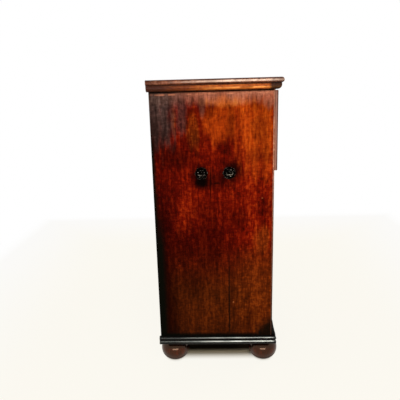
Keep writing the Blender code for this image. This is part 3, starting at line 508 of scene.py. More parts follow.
class Graph:
    """Short way to wire the nodes of one material."""

    def __init__(self, tree):
        self.tree = tree

    def give(self, socket, value):
        """Link a socket, or set its value."""
        if isinstance(value, Field):
            value = value.socket
        if isinstance(value, bpy.types.NodeSocket):
            self.tree.links.new(value, socket)
        else:
            socket.default_value = value

    def node(self, kind, values=None, **settings):
        """Add a node with its settings and inputs."""
        made = self.tree.nodes.new(kind)
        assign(made, settings)
        for key, value in (values or {}).items():
            self.give(made.inputs[key], value)
        return made

    def field(self, kind, values, output=0, **settings):
        """Number that a new node gives."""
        return Field(self, self.node(kind, values, **settings).outputs[output])

    def maths(self, operation, *values):
        """Result of a sum on numbers."""
        return self.field("ShaderNodeMath", dict(enumerate(values)), operation=operation)

    def largest(self, *fields):
        """Largest of several numbers."""
        return reduce(partial(self.maths, "MAXIMUM"), fields)

    def least(self, *fields):
        """Least of several numbers."""
        return reduce(partial(self.maths, "MINIMUM"), fields)

    def vector(self, operation, *values):
        """Result of a sum on vectors."""
        return self.node("ShaderNodeVectorMath", dict(enumerate(values)), operation=operation).outputs[0]

    def split(self, vector):
        """X, Y and Z of a vector."""
        return [Field(self, part) for part in self.node("ShaderNodeSeparateXYZ", {"Vector": vector}).outputs]

    def noise(self, vector, scale, detail=MEDIUM):
        """Noise from 0 to 1."""
        return self.field("ShaderNodeTexNoise", {"Vector": vector, "Scale": scale, "Detail": detail}, "Fac")

    def blend(self, share, first, second):
        """Mix two colours."""
        return self.node("ShaderNodeMix", {0: share, 6: first, 7: second}, data_type="RGBA").outputs[2]

    def stained(self, colour, stains):
        """Colour with plain tones laid over it in turn, each with its mask."""
        for tone, mask in stains:
            colour = self.blend(mask, colour, linear(tone))
        return colour

    def ramp(self, value, tones):
        """Colour between three tones."""
        made = self.node("ShaderNodeValToRGB", {"Fac": value})
        stops = made.color_ramp.elements
        stops.new(TONE_STOPS[1])
        for stop, place, tone in zip(stops, TONE_STOPS, TONES[tones]):
            stop.position = place
            stop.color = linear(tone)
        return made.outputs["Color"]

    def coordinate(self, name):
        """One of the surface's own coordinates."""
        return self.node("ShaderNodeTexCoord").outputs[name]

    def place(self):
        """Place on the piece at rest, in the part's frame."""
        return self.coordinate("Object")

    def axes(self):
        """X, distance behind the front of the case, and height."""
        across, along, up = self.split(self.place())
        return across, along - case_front(), up

    def edges(self, reach):
        """Mask of the arrises of the piece itself."""
        settings = {"inside": True, "only_local": True, "samples": EDGE_SAMPLES}
        inside = self.field("ShaderNodeAmbientOcclusion", {"Distance": reach}, "AO", **settings)
        return inside.fade(*EDGE_OPEN)

    def seen(self):
        """1 where the camera looks, straight or by way of a reflection or glass."""
        path = self.node("ShaderNodeLightPath").outputs
        return self.largest(path["Is Camera Ray"], path["Is Glossy Ray"], path["Is Transmission Ray"])


class Grain:
    """Noise drawn out along the grain of one board."""

    def __init__(self, graph, axis, parts=FIGURED):
        self.graph = graph
        self.axis = "xyz".index(axis)
        chance = graph.field("ShaderNodeObjectInfo", {}, "Random")
        place = graph.vector("MULTIPLY_ADD", chance, BOARD_SHIFT, graph.place())
        values = {"Vector": self.drawn(place, FLOW_SIZE), "Scale": 1.0, "Detail": COARSE}
        flow = graph.node("ShaderNodeTexNoise", values).outputs["Color"]
        wander = graph.vector("SUBTRACT", flow, NOISE_MIDDLE)
        self.vector = graph.vector("MULTIPLY_ADD", wander, (FLOW, FLOW, FLOW), place)
        self.cloud = graph.noise(place, 1 / CLOUDS, FINE)
        self.fibre = self.streaks(FIBRES)
        layers = [self.streaks(size) * share for size, share in parts]
        self.tone = sum(layers[1:], layers[0])
        self.fleck = self.streaks(FLECKS).fade(*FLECK_CUT)
        self.pore = self.streaks(PORES, COARSE).fade(*PORE_CUT)

    def drawn(self, vector, size):
        """Coordinates in which a streak of that size is one unit each way."""
        scale = [1 / size[0]] * 3
        scale[self.axis] = 1 / size[1]
        return self.graph.vector("MULTIPLY", vector, scale)

    def streaks(self, size, detail=MEDIUM):
        """Noise in streaks of a size across and along the grain."""
        return self.graph.noise(self.drawn(self.vector, size), 1.0, detail)

    def patches(self, size, cut, least):
        """Mask of the patches of a rubbed line, with its least share between them."""
        return self.streaks(size, FINE).fade(*cut, 1 - least) + least

    def pitted(self, colour, shares=PITS):
        """Colour with dark flecks and pores in it."""
        masks = zip((self.fleck, self.pore), shares)
        return self.graph.stained(colour, [(PORE_TONE, mask * share) for mask, share in masks])

    def height(self):
        """Relief of planed wood: fibres, with the pores and flecks let in."""
        return self.fibre * FIBRE_RISE - self.fleck * FLECK_SINK - self.pore * PORE_SINK

    def roughness(self, base):
        """Gloss that changes with the patina and breaks at the pores."""
        return self.cloud * CLOUD_DULL + self.pore * PORE_DULL + (base - CLOUD_DULL / 2)


def empty_graph(owner):
    """Nodes of a material or world, cleared."""
    owner.use_nodes = True
    owner.node_tree.nodes.clear()
    return Graph(owner.node_tree)


def new_material(name):
    """Empty node material."""
    material = bpy.data.materials.new(name)
    return material, empty_graph(material)


def finish(graph, colour, roughness, height, depth, specular, sheen=WHITE, metallic=0.0):
    """Surface of a material, with its relief."""
    relief = graph.node("ShaderNodeBump", {"Strength": 1.0, "Distance": depth, "Height": height})
    shader = graph.node("ShaderNodeBsdfPrincipled", {
        "Base Color": colour, "Roughness": roughness, "Normal": relief.outputs["Normal"],
        "Specular IOR Level": specular, "Specular Tint": linear(sheen), "Metallic": metallic,
    })
    graph.node("ShaderNodeOutputMaterial", {"Surface": shader.outputs["BSDF"]})


def polish(graph, grain, colour, surface, dull=None):
    """Surface of a wood, with the relief of its grain, and duller where wanted."""
    base, depth, specular, sheen = SURFACES[surface]
    roughness = grain.roughness(base)
    if dull:
        roughness = roughness + dull
    finish(graph, colour, roughness, grain.height(), depth, specular, sheen)


def patina_wood(name, axis, wood, marks=None):
    """Old polished wood: a first tone with patches of two others, its own marks and worn arrises."""
    material, graph = new_material(name)
    grain = Grain(graph, axis)
    tones, shares, worn = WOODS[wood]
    clouds = (grain.cloud, graph.noise(grain.vector, 1 / CLOUDS, FINE))
    colour = graph.ramp(grain.tone, tones[0])
    for cloud, cut, share, patch in zip(clouds, PATCH_CUTS, shares, tones[1:]):
        colour = graph.blend(cloud.fade(*cut, share), colour, graph.ramp(grain.tone, patch))
    stains = marks(graph, grain) if marks else []
    edge = graph.edges(EDGE_REACH) * grain.cloud.fade(*EDGE_PATCHES, worn)
    colour = graph.stained(grain.pitted(colour), stains + [(WORN_TONE, edge)])
    polish(graph, grain, colour, wood)
    return material


def cornice_marks(graph, grain):
    """Painted highlight along the crest, darker rear, painted shade above and below the ovolo, and dark tips.
    """
    across, back, up = graph.axes()
    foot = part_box("cornice_left")[0].z
    end, _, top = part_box("cornice_right")[1]
    crest = (up - foot).line(*CORNICE_CREST) * back.fade(*CORNICE_CREST_BACK)
    return [
        # painted highlight along the crest
        (PAINTED_CREST_HIGHLIGHT, crest * grain.patches(*CORNICE_PATCHES)),
        (CORNICE_SHADE, (grain.cloud * CORNICE_REAR_WANDER + back).fade(*CORNICE_REAR)),
        (NOSE_SHADE, back.fade(*CORNICE_REAR_END)),
        # painted shade in the groove and along the foot
        (PAINTED_CREASE_SHADE, graph.largest((up - top).fade(*CORNICE_GROOVE), (up - foot).fade(*CORNICE_UNDER))),
        (SOOT_AND_SHADE, (abs(across) - end).fade(*CORNICE_TIP) * back.fade(*CORNICE_TIP_BACK)),
    ]


def top_marks(graph, grain):
    """Painted shade under the nosing, and the nosing pale above, from wear and a painted highlight, most of
    all towards the front.
    """
    across, back, up = graph.axes()
    low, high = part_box("top_board")
    height = up - low.z
    side = high.x - abs(across)
    rim = graph.least(side, back - (low.y - case_front())).fade(*NOSE_RIM)
    tip = side.fade(*NOSE_TIP) * back.fade(*NOSE_TIP_BACK)
    return [
        # painted shade under the nosing, and the nosing pale from wear and a painted highlight
        (PAINTED_CREASE_SHADE, height.fade(*NOSE_UNDER)),
        (RUBBED_NOSE_AND_HIGHLIGHT, rim * height.line(*NOSE_LINE) * grain.patches(*NOSE_PATCHES) * back.fade(*NOSE_BACK)),
        (NOSE_SHADE, graph.largest(rim * height.fade(*NOSE_ARRIS), tip)),
    ]


def base_marks(graph, grain):
    """Painted highlight lines along the crests of the two beads."""
    _, back, up = graph.axes()
    low, high = [corner.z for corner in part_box("base_moulding_left")]
    split = low + (high - low) * LOWER_BEAD_SHARE
    crests = []
    for (start, end), (level, reach, share) in zip(((low, split), (split, high)), BEAD_CRESTS):
        crests.append(up.line(start + level * (end - start), reach, share))
    length = (back.fade(*BEAD_BACK) + BEAD_LEAST) * back.fade(*BEAD_FRONT)
    # painted highlight lines on the bead crests
    return [(PAINTED_BEAD_HIGHLIGHT, graph.largest(*crests) * length * grain.patches(*BEAD_PATCHES))]


def facing_marks(graph, _):
    """Facing that is darker towards the floor."""
    up = graph.axes()[2]
    return [(FACING_SHADE, up.fade(*FACING_LOW)), (SOOT_AND_SHADE, up.fade(*FACING_FOOT))]


def lip_marks(graph, _):
    """Dry end grain on the ends of the lipped facing, with a dark front arris."""
    back = graph.axes()[1]
    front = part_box("drawer_upper_facing")[0].y - case_front()
    end = abs(graph.split(graph.coordinate("Normal"))[0]).fade(*LIP_END)
    return [(END_GRAIN, end), (SOOT_AND_SHADE, end * (back - front).fade(*LIP_ARRIS))]


def photographed_side():
    """The side in the photograph, with its own stains, worn places and colours, and painted light: a sheen
    and a highlight under the cornice, the cornice's shadow and a lighter front.
    """
    material, graph = new_material("case_wood_left_side")
    grain = Grain(graph, "z")
    _, back, up = graph.axes()
    ragged = grain.streaks(RAGGED_SIZE, FINE) * (2 * RAGGED) - RAGGED
    smooth = ragged * SMOOTH
    level = ragged * PAINTED_SHEEN_WANDER + up

    def spot(place_back, place_up, reach_back, reach_up, outline):
        across = (back - place_back) / reach_back
        above = (up - place_up) / reach_up
        distance = graph.maths("SQRT", across * across + above * above) + outline
        return distance.fade(1.0, CORE)

    def spots(name, outline=ragged):
        share, places = SPOTS[name]
        return graph.largest(*[spot(*place, outline) for place in places]) * share

    def zone(fades, height=up):
        return back.fade(*fades[0]) * height.fade(*fades[1])

    crack = back.line(CRACK[0], *CRACK_DARK) * (up - CRACK[2]).fade(*CRACK_DARK_UP)
    joint = back.line(*JOINT_LINE) * up.fade(*JOINT_START) * up.fade(*JOINT_END)
    edges = (zone(REAR_EDGE), zone(REAR_RIM), zone(CORNER, back * CORNER_SLOPE + up))
    levels = [up.fade(*fade) for fade in (BOTTOM_EDGE, BOTTOM_DARKER, TOP_SHADOW)]
    colour = graph.ramp(grain.tone, "red")
    for tones, mask in (
        ("brown", up.fade(*LOW_BROWN)),
        # lighter towards the front, low down and higher up: painted light
        ("russet", zone(LOW_FRONT_LIGHT)),
        ("scarlet", graph.largest(spots("red"), zone(FRONT_LIGHT))),
        ("russet", spots("russet")),
        ("orange", spots("orange")),
        # painted sheen under the cornice
        ("cornice", spots("painted_glow")),
        ("grey", graph.largest(spots("grey"), spots("drips"))),
        # more of the painted sheen, reddish at the front and grey at the rear
        ("painted_sheen", graph.largest(zone(PAINTED_SHEEN_BAND, level), spots("painted_sheen"))),
        ("grey", zone(PAINTED_SHEEN_REAR, level)),
    ):
        colour = graph.blend(mask, colour, graph.ramp(grain.tone, tones))
    colour = graph.stained(grain.pitted(colour, SIDE_PITS), (
        (DEEP, graph.largest(zone(REAR_BAND), spots("dark"), spots("shade"))),
        # painted highlight under the cornice's shadow
        (PAINTED_TOP_HIGHLIGHT, up.line(*TOP_HIGHLIGHT) * ragged.fade(*TOP_HIGHLIGHT_PATCHES)),
        # dark rear edges, corner, bottom and crack, and the painted shadow of the cornice
        (SOOT_AND_SHADE, graph.largest(*edges, *levels, crack)),
        (BLACK_STAIN_AND_SHADE, graph.largest(spots("stain", smooth), spots("halo", smooth))),
        (BLACK_STAIN_AND_SHADE, spots("rub")),
        (WORN_TONE, spots("pale")),
        (DEEP, joint),
    ))
    polish(graph, grain, colour, "left_side")
    return material


def raw_wood(name, axis, tones):
    """Unpolished wood, dry and dusty."""
    material, graph = new_material(name)
    grain = Grain(graph, axis, PLAIN)
    dust = graph.largest(grain.fleck * RAW_PITS, grain.pore * RAW_PITS, grain.cloud.fade(*DIRT_CUT))
    polish(graph, grain, graph.stained(graph.ramp(grain.tone, tones), [(DUST, dust)]), "raw")
    return material


def turned_wood():
    """Dark polished turnings, dull near the floor, darkened there by grime and painted shade, and with
    painted shade towards and in under the base.
    """
    material, graph = new_material("turned_wood_z")
    grain = Grain(graph, "z")
    across, back, up = graph.axes()
    low = up.fade(*FOOT_GRIME_AND_SHADE)
    # grime and painted shade near the floor, and painted shade towards the base
    grime_and_shade = graph.largest(low, up.fade(*FOOT_TOP_SHADE)) * FOOT_DARKENING
    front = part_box("base_moulding_front")[0].y - case_front()
    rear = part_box("base_moulding_left")[1].y - case_front()
    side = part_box("base_moulding_right")[1].x
    inset = graph.least(back - front, rear - back, side - abs(across))
    # painted shade in under the base
    deep = inset.fade(*FOOT_DEEP) * up.fade(*FOOT_DEEP_UP)
    colour = grain.pitted(graph.ramp(grain.tone, "turned"))
    colour = graph.stained(colour, [(FOOT_SHADE, grime_and_shade), (BLACK_STAIN_AND_SHADE, deep)])
    polish(graph, grain, colour, "turned", low * FOOT_DULL)
    return material


def cast_metal():
    """Dark patinated casting, brighter where hands have rubbed its edges, with a painted highlight on the
    downward faces of the eyes on the left side.
    """
    material, graph = new_material("dark_metal_cast")
    across = graph.axes()[0]
    grime = graph.noise(graph.place(), *METAL_GRIME)
    out = (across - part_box("side_left")[0].x).fade(*EYE_HIGHLIGHT_OUT)
    under = graph.split(graph.coordinate("Normal"))[2].fade(*EYE_HIGHLIGHT_UNDER)
    growth, least = METAL_TONE
    # worn edges, and the painted highlight on the eyes
    tone = grime * growth + least + graph.edges(METAL_EDGE) * METAL_EDGE_LIFT + out * under
    growth, least = METAL_ROUGH
    roughness = grime * growth + least
    pits = graph.noise(graph.place(), METAL_PITS)
    finish(graph, graph.ramp(tone, "metal"), roughness, pits, METAL_RELIEF, METAL_SPECULAR, metallic=1.0)
    return material


def make_materials():
    """All finishes, by the name that the pieces use."""
    made = {
        "side_left": photographed_side(),
        "turned": turned_wood(),
        "metal": cast_metal(),
        "top": patina_wood("top_wood", "x", "top", top_marks),
        "lip": patina_wood("lip_wood", "x", "case", lip_marks),
        "back": raw_wood("back_wood_z", "z", "back"),
        "under": raw_wood("back_wood_x", "x", "under"),
    }
    for wood, axes, marks in (
        ("case", "xz", None),
        ("cornice", "xy", cornice_marks),
        ("base", "xy", base_marks),
        ("facing", "xz", facing_marks),
    ):
        for axis in axes:
            made[f"{wood}_{axis}"] = patina_wood(f"{wood}_wood_{axis}", axis, wood, marks)
    for axis in "xy":
        made[f"raw_{axis}"] = raw_wood(f"drawer_wood_{axis}", axis, "drawer")
    return made


def link(name, data):
    """New object of the scene."""
    thing = bpy.data.objects.new(name, data)
    bpy.context.scene.collection.objects.link(thing)
    return thing


def to_mesh(name, form):
    """Turn a bmesh, which is used up, into a mesh."""
    mesh = bpy.data.meshes.new(name)
    form.to_mesh(mesh)
    form.free()
    return mesh


def put(name, form):
    """Turn a bmesh, which is used up, into an object of the scene."""
    return link(name, to_mesh(name, form))


def modify(thing, name, kind, **settings):
    """Add a modifier with its settings."""
    assign(thing.modifiers.new(name, kind), settings)


def add_piece(name, form, material, body, node=None):
    """Turn a bmesh in the part's frame into a piece on a body, which hides the node it stands for if one is
    named.
    """
    bmesh.ops.recalc_face_normals(form, faces=form.faces)
    thing = put(name, form)
    thing.data.shade_smooth()
    thing.data.set_sharp_from_angle(angle=SMOOTH_ANGLE)
    thing.data.materials.append(material)
    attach(thing, body)
    if node:
        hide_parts(node)


def gather(forms):
    """One bmesh from several, which are used up."""
    whole = bmesh.new()
    for form in forms:
        mesh = to_mesh("work", form)
        whole.from_mesh(mesh)
        bpy.data.meshes.remove(mesh)
    return whole


def placed(form, matrix):
    """Copy of a bmesh, moved."""
    moved = form.copy()
    bmesh.ops.transform(moved, matrix=matrix, verts=moved.verts)
    return moved


def fuse(first, second, operation):
    """Boolean of two bmeshes, which are used up."""
    things = [put("work", form) for form in (first, second)]
    modify(things[0], "step", "BOOLEAN", operation=operation, solver="EXACT", object=things[1])
    bpy.context.view_layer.update()
    result = bmesh.new()
    result.from_object(things[0], bpy.context.evaluated_depsgraph_get())
    for thing in things:
        bpy.data.meshes.remove(thing.data)
    return result


def arc(centre, radii, start, end, steps=CURVE_STEPS):
    """Points of an elliptical arc, angles in degrees."""
    angles = [math.radians(start + (end - start) * step / steps) for step in range(steps + 1)]
    return [(centre[0] + radii[0] * math.cos(a), centre[1] + radii[1] * math.sin(a)) for a in angles]


def mirrored(half):
    """Path in a plane from its right half."""
    return half + [(-across, up) for across, up in reversed(half)]


def skin(form, rings):
    """Faces between closed rings of points, with both ends capped."""
    for ring, after in zip(rings, rings[1:]):
        for index in range(len(ring)):
            beside = (index + 1) % len(ring)
            form.faces.new((ring[index], ring[beside], after[beside], after[index]))
    form.faces.new(rings[0])
    form.faces.new(rings[-1])
    bmesh.ops.recalc_face_normals(form, faces=form.faces)


def turned(profile, segments, matrix=Matrix()):
    """Spin a profile of (radius, height) points round Z."""
    form = bmesh.new()
    points = [form.verts.new((radius, 0, height)) for radius, height in profile]
    edges = [form.edges.new(pair) for pair in zip(points, points[1:])]
    bmesh.ops.spin(form, geom=points + edges, cent=(0, 0, 0), axis=(0, 0, 1), angle=2 * math.pi,
                   steps=segments, use_merge=True)
    bmesh.ops.remove_doubles(form, verts=form.verts, dist=SPIN_WELD)
    bmesh.ops.transform(form, matrix=matrix, verts=form.verts)
    bmesh.ops.recalc_face_normals(form, faces=form.faces)
    return form


def rod(radius, half, segments, matrix):
    """Round bar along Z, from -half to half."""
    return turned([(0, -half), (radius, -half), (radius, half), (0, half)], segments, matrix)


def tube(points, radii):
    """Round bar through points that lie in one plane, with its own radius at each point."""
    form = bmesh.new()
    points = [Vector(point) for point in points]
    binormal = (points[1] - points[0]).cross(points[len(points) // 2] - points[0]).normalized()
    angles = [2 * math.pi * side / TUBE_SIDES for side in range(TUBE_SIDES)]
    rings = []
    for index, point in enumerate(points):
        ahead = points[min(index + 1, len(points) - 1)] - points[max(index - 1, 0)]
        normal = binormal.cross(ahead.normalized())
        spokes = [math.cos(a) * normal + math.sin(a) * binormal for a in angles]
        rings.append([form.verts.new(point + radii[index] * spoke) for spoke in spokes])
    skin(form, rings)
    return form


def wear(point, seed):
    """How deep the surface is worn at a point, from 0 to 1."""
    broad = noise.noise(Vector(point) / WEAR_SIZE + Vector((seed, 0, 0)))
    fine = noise.noise(Vector(point) * WEAR_FINER / WEAR_SIZE + Vector((0, seed, 0)))
    return min(1.0, max(0.0, WEAR_MEAN + WEAR_SHARES[0] * broad + WEAR_SHARES[1] * fine))


def run(profile, start, end, to_space, mitres=(0, 0), depth=WEAR_DEPTH, seed=0):
    """Moulding run along a line from a closed profile of (out, up) points, its face a little worn."""
    form = bmesh.new()
    cuts = max(1, round(abs(end - start) / CUT_SPACING))
    rings = []
    for cut in range(cuts + 1):
        ring = []
        for out, up in profile:
            first = start + mitres[0] * out
            last = end + mitres[1] * out
            along = first + (last - first) * cut / cuts
            sunk = depth * wear((along, out, up), seed) if out > depth else 0
            ring.append(form.verts.new(to_space(along, out - sunk, up)))
        rings.append(ring)
    skin(form, rings)
    return form


def ovolo(low, high, reach):
    """Cornice: a fillet over a quarter round."""
    rise = high - low - CORNICE_FILLET
    swell = arc((CORNICE_FOOT, low + rise), (reach - CORNICE_FOOT, rise), -90, 0)
    return [(0, low)] + swell + [(reach, high), (0, high)]


def double_bead(low, high, reach):
    """Base moulding: a large bead under a smaller one."""
    points = [(0, low), (BASE_GROOVE, low)]
    split = low + (high - low) * LOWER_BEAD_SHARE
    for start, end in ((low, split), (split, high)):
        centre = (BASE_GROOVE, (start + end) / 2)
        points += arc(centre, (reach - BASE_GROOVE, (end - start) / 2), -90, 90)[1:]
    return points + [(0, high)]


def cavetto(low, high, reach):
    """Sloped moulding with a slight hollow."""
    points = [(0, low)]
    for step in range(CURVE_STEPS + 1):
        share = step / CURVE_STEPS
        slope = reach + (CAVETTO_LIP - reach) * share
        points.append((slope - CAVETTO_HOLLOW * math.sin(math.pi * share), low + (high - low) * share))
    return points + [(0, high)]


def reeded(width, thickness):
    """Strip with two half-round reeds, as (out, across) points."""
    base = thickness - REED_DEPTH
    reed = width / 4
    points = [(0, 0), (base, 0)]
    for centre in (reed, 3 * reed):
        points += [(out, across) for across, out in arc((centre, base), (reed, REED_DEPTH), 180, 0)][1:]
    return points + [(0, width)]


def along_front(face):
    """Places of a moulding that runs along X and stands out from a face towards the front."""
    return lambda along, out, up: (along, face - out, up)


def make_mouldings(materials):
    """Cornice and base mouldings with their mitres, and the cavetto."""
    for kind, wood, profile in (("cornice", "cornice", ovolo), ("base_moulding", "base", double_bead)):
        low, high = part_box(f"{kind}_front")
        reach = high.y - low.y
        outline = profile(low.z, high.z, reach)
        form = run(outline, low.x + reach, high.x - reach, along_front(high.y), (-1, 1))
        add_piece(f"{kind}_front_run", form, materials[f"{wood}_x"], "case", f"{kind}_front")
        for seed, (hand, sign) in enumerate(HANDS, 1):
            node = f"{kind}_{hand}"
            low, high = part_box(node)
            inner = high.x if sign < 0 else low.x
            form = run(outline, low.y + reach, high.y, lambda along, out, up: (inner + sign * out, along, up),
                       (-1, 0), seed=seed)
            add_piece(f"{node}_run", form, materials[f"{wood}_y"], "case", node)
    low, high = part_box("base_cavetto_front")
    form = run(cavetto(low.z, high.z, high.y - low.y), low.x, high.x, along_front(high.y))
    add_piece("base_cavetto_run", form, materials["base_x"], "case", "base_cavetto_front")


def make_reeds(materials):
    """Reeded facings of the sides and beads of the dust boards."""
    for node, axis in (("facing_left", "z"), ("facing_right", "z"), ("bead_upper", "x"), ("bead_lower", "x")):
        low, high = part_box(node)
        length = "xyz".index(axis)
        width = 2 - length  # the other of X and Z

        def to_space(along, out, across):
            place = [0, high.y - out, 0]
            place[length] = along
            place[width] = low[width] + across
            return place

        strip = reeded(high[width] - low[width], high.y - low.y)
        form = run(strip, low[length], high[length], to_space, depth=REED_WEAR)
        add_piece(f"{node}_reeds", form, materials[f"facing_{axis}"], "case", node)


def make_top(material):
    """Top board with a half-round, slightly battered edge on three sides."""
    low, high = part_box("top_board")
    size = high - low
    form = bmesh.new()
    block = Matrix.Translation(middle("top_board")) @ Matrix.Diagonal((*size, 1))
    bmesh.ops.create_cube(form, size=1, matrix=block)

    def is_nosed(edge):
        ends = [corner.co for corner in edge.verts]
        return abs(ends[0].z - ends[1].z) < WELD and min(ends[0].y, ends[1].y) < (low.y + high.y) / 2

    nose = (size.z - NOSE_FLAT) / 2
    nosed = [edge for edge in form.edges if is_nosed(edge)]
    bmesh.ops.bevel(form, geom=nosed, offset=nose, segments=CURVE_STEPS // 2, profile=NOSE_PROFILE,
                    affect="EDGES")
    for direction, length in ((Vector((1, 0, 0)), size.x), (Vector((0, 1, 0)), size.y)):
        cuts = round(length / CUT_SPACING)
        for cut in range(1, cuts):
            geometry = form.verts[:] + form.edges[:] + form.faces[:]
            place = low + direction * length * cut / cuts
            bmesh.ops.bisect_plane(form, geom=geometry, plane_co=place, plane_no=direction)
    for corner in form.verts:
        place = corner.co
        inwards = Vector((0, 0, 0))
        if high.x - abs(place.x) < nose:
            inwards.x = -math.copysign(1, place.x)
        if place.y - low.y < nose:
            inwards.y = 1
        corner.co = place + inwards * NOSE_WEAR * wear(place, NOSE_SEED)
    add_piece("top_board_nosed", form, material, "case", "top_board")


def make_feet(material):
    """Four turned ball feet."""
    for name in FEET:
        node = f"foot_{name}"
        low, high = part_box(node)
        radius = (high.x - low.x) / 2
        lower = arc((FOOT_SOLE, FOOT_BELLY), (radius - FOOT_SOLE, FOOT_BELLY), -90, 0)
        upper = arc((FOOT_NECK, FOOT_BELLY), (radius - FOOT_NECK, FOOT_NECK_UP - FOOT_BELLY), 0, 90)[1:]
        collar = [(FOOT_COLLAR, FOOT_NECK_UP), (FOOT_COLLAR, FOOT_UP)]
        spigot = [(SPIGOT, FOOT_UP), (SPIGOT, high.z), (0, high.z)]
        axis = Matrix.Translation((*middle(node).xy, 0))
        form = turned([(0, 0)] + lower + upper + collar + spigot, FOOT_SEGMENTS, axis)
        add_piece(f"{node}_turned", form, material, "case", node)


def relief(share):
    """Height of a cast plate at a share of its radius, as a share of its rise."""
    for (outer, low), (inner, high) in zip(RELIEF, RELIEF[1:]):
        if share >= inner:
            step = (outer - share) / (outer - inner)
            return low + (high - low) * (1 - math.cos(math.pi * step)) / 2
    return RELIEF[-1][1]


def lobed_plate(radius, edge, dome):
    """Cast plate with petals and a boss, its back at z = 0."""
    form = bmesh.new()
    count = LOBES * LOBE_STEPS
    boss = RELIEF[-2][0]
    rings = []
    for index, share in enumerate([1.0] + [1 - step / PLATE_RINGS for step in range(PLATE_RINGS)]):
        ring = []
        for step in range(count):
            angle = 2 * math.pi * step / count
            lobe = math.cos(LOBES * angle)
            reach = share * radius * (1 - LOBE_DEPTH * (1 - lobe) / 2)
            petal = PETAL_RISE * lobe * math.sin(math.pi * max(0, share - boss) / (1 - boss))
            height = edge + (dome - edge) * (relief(share) + petal) if index else 0
            ring.append(form.verts.new((reach * math.cos(angle), reach * math.sin(angle), height)))
        rings.append(ring)
    skin(form, rings)
    return form


def make_rosettes(material):
    """Rosettes of the side handles, with their pierced eyes."""
    reach = EYE_REACH - SEAT
    (collar, collar_height), (shank, shank_length) = EYE_COLLAR, EYE_SHANK
    foot = [(0, -shank_length), (shank, -shank_length), (shank, 0)]
    ring = [(collar, 0), (collar, collar_height), (shank, collar_height + EYE_CHAMFER)]
    post = turned(foot + ring + [(shank, reach), (0, reach)], TURN_SEGMENTS)
    along = Matrix.Translation((0, 0, reach)) @ Matrix.Rotation(math.pi / 2, 4, "X")
    swell = arc((EYE_END, 0), (EYE_RADIUS - EYE_END, EYE_HALF), -90, 90)
    barrel = turned([(0, -EYE_HALF)] + swell + [(0, EYE_HALF)], TURN_SEGMENTS, along)
    rosette = fuse(fuse(lobed_plate(*ROSETTE), post, "UNION"), barrel, "UNION")
    rosette = fuse(rosette, rod(EYE_BORE, 2 * EYE_HALF, TURN_SEGMENTS, along), "DIFFERENCE")
    for hand, sign in HANDS:
        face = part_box(f"side_{hand}")[(1 + sign) // 2].x + sign * SEAT
        turn = Matrix(((0, 0, sign), (0, 1, 0), (-sign, 0, 0))).to_4x4()
        for end in ("front", "rear"):
            node = f"handle_rosette_{hand}_{end}"
            place = Matrix.Translation((face, *middle(node).yz))
            form = placed(rosette, place @ turn)
            add_piece(f"rosette_{hand}_{end}_cast", form, material, "case", node)
    rosette.free()


def make_bail(material):
    """Bail of the handle on the right."""
    centre = middle("handle_bail_right")
    axis = Vector((centre.x, centre.y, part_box("handle_bail_right")[1].z - BAIL_PIN))
    shoulder = arc((BAIL_LEG - BAIL_SHOULDER, -BAIL_SHOULDER), (BAIL_SHOULDER, BAIL_SHOULDER), 90, 0)
    corner = arc((BAIL_LEG - BAIL_CORNER, BAIL_CORNER - BAIL_DROP), (BAIL_CORNER, BAIL_CORNER), 0, -90)
    path = mirrored([(BAIL_TIP, 0)] + shoulder + corner)
    radii = [BAIL_PIN + (BAIL_GRIP - BAIL_PIN) * min(1, max(0, -z / BAIL_DROP)) for _, z in path]
    form = tube([axis + Vector((0, y, z)) for y, z in path], radii)
    add_piece("bail_right_cast", form, material, "handle_bail", "handle_bail_right")


def pull_plate():
    """Lobed plate with its staple, facing the front, with the drop's axis at its middle."""
    half_width = DROP_HEAD + DROP_BORE
    corner = (half_width - STAPLE_BEND, SEAT - PULL_REACH + STAPLE_BEND)
    path = mirrored([(half_width, STAPLE_LEG)] + arc(corner, (STAPLE_BEND, STAPLE_BEND), 0, -90))
    plate = lobed_plate(*PULL_PLATE)
    bmesh.ops.transform(plate, matrix=Matrix.Rotation(math.pi / 2, 4, "X"), verts=plate.verts)
    return fuse(plate, tube([(x, y, 0) for x, y in path], [STAPLE_WIRE] * len(path)), "UNION")


def pull_drop():
    """Turned drop, hanging from the middle of its pierced head."""
    head = arc((0, 0), (DROP_HEAD, DROP_HEAD), BALL_START, 90)[:-1]
    lower = arc((0, -DROP_BELLY), (DROP_RADIUS, DROP_LENGTH - DROP_BELLY), -90, 0)[1:]
    shoulder = (DROP_RADIUS - DROP_NECK, (DROP_BELLY - DROP_HEAD) / 2)
    upper = arc((DROP_NECK, -DROP_BELLY), shoulder, 0, 90)[1:]
    drop = turned([(0, -DROP_LENGTH)] + lower + upper + head + [(0, DROP_HEAD)], TURN_SEGMENTS)
    bore = rod(DROP_BORE, 2 * DROP_HEAD, TURN_SEGMENTS, Matrix.Rotation(math.pi / 2, 4, "Y"))
    return fuse(drop, bore, "DIFFERENCE")


def make_pulls(material):
    """Plates and drops of the drawers."""
    plate = pull_plate()
    drop = pull_drop()
    for drawer in DRAWERS:
        for hand, _ in HANDS:
            name = f"{drawer}_{hand}"
            node = f"pull_plate_{name}"
            centre = middle(node)
            form = placed(plate, Matrix.Translation((centre.x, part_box(node)[1].y - STAPLE_LEG, centre.z)))
            add_piece(f"plate_{name}_cast", form, material, f"drawer_{drawer}", node)
            node = f"drop_{name}"
            form = placed(drop, Matrix.Translation((*middle(node).xy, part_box(node)[1].z - DROP_HEAD)))
            add_piece(f"{node}_cast", form, material, node, node)
    plate.free()
    drop.free()


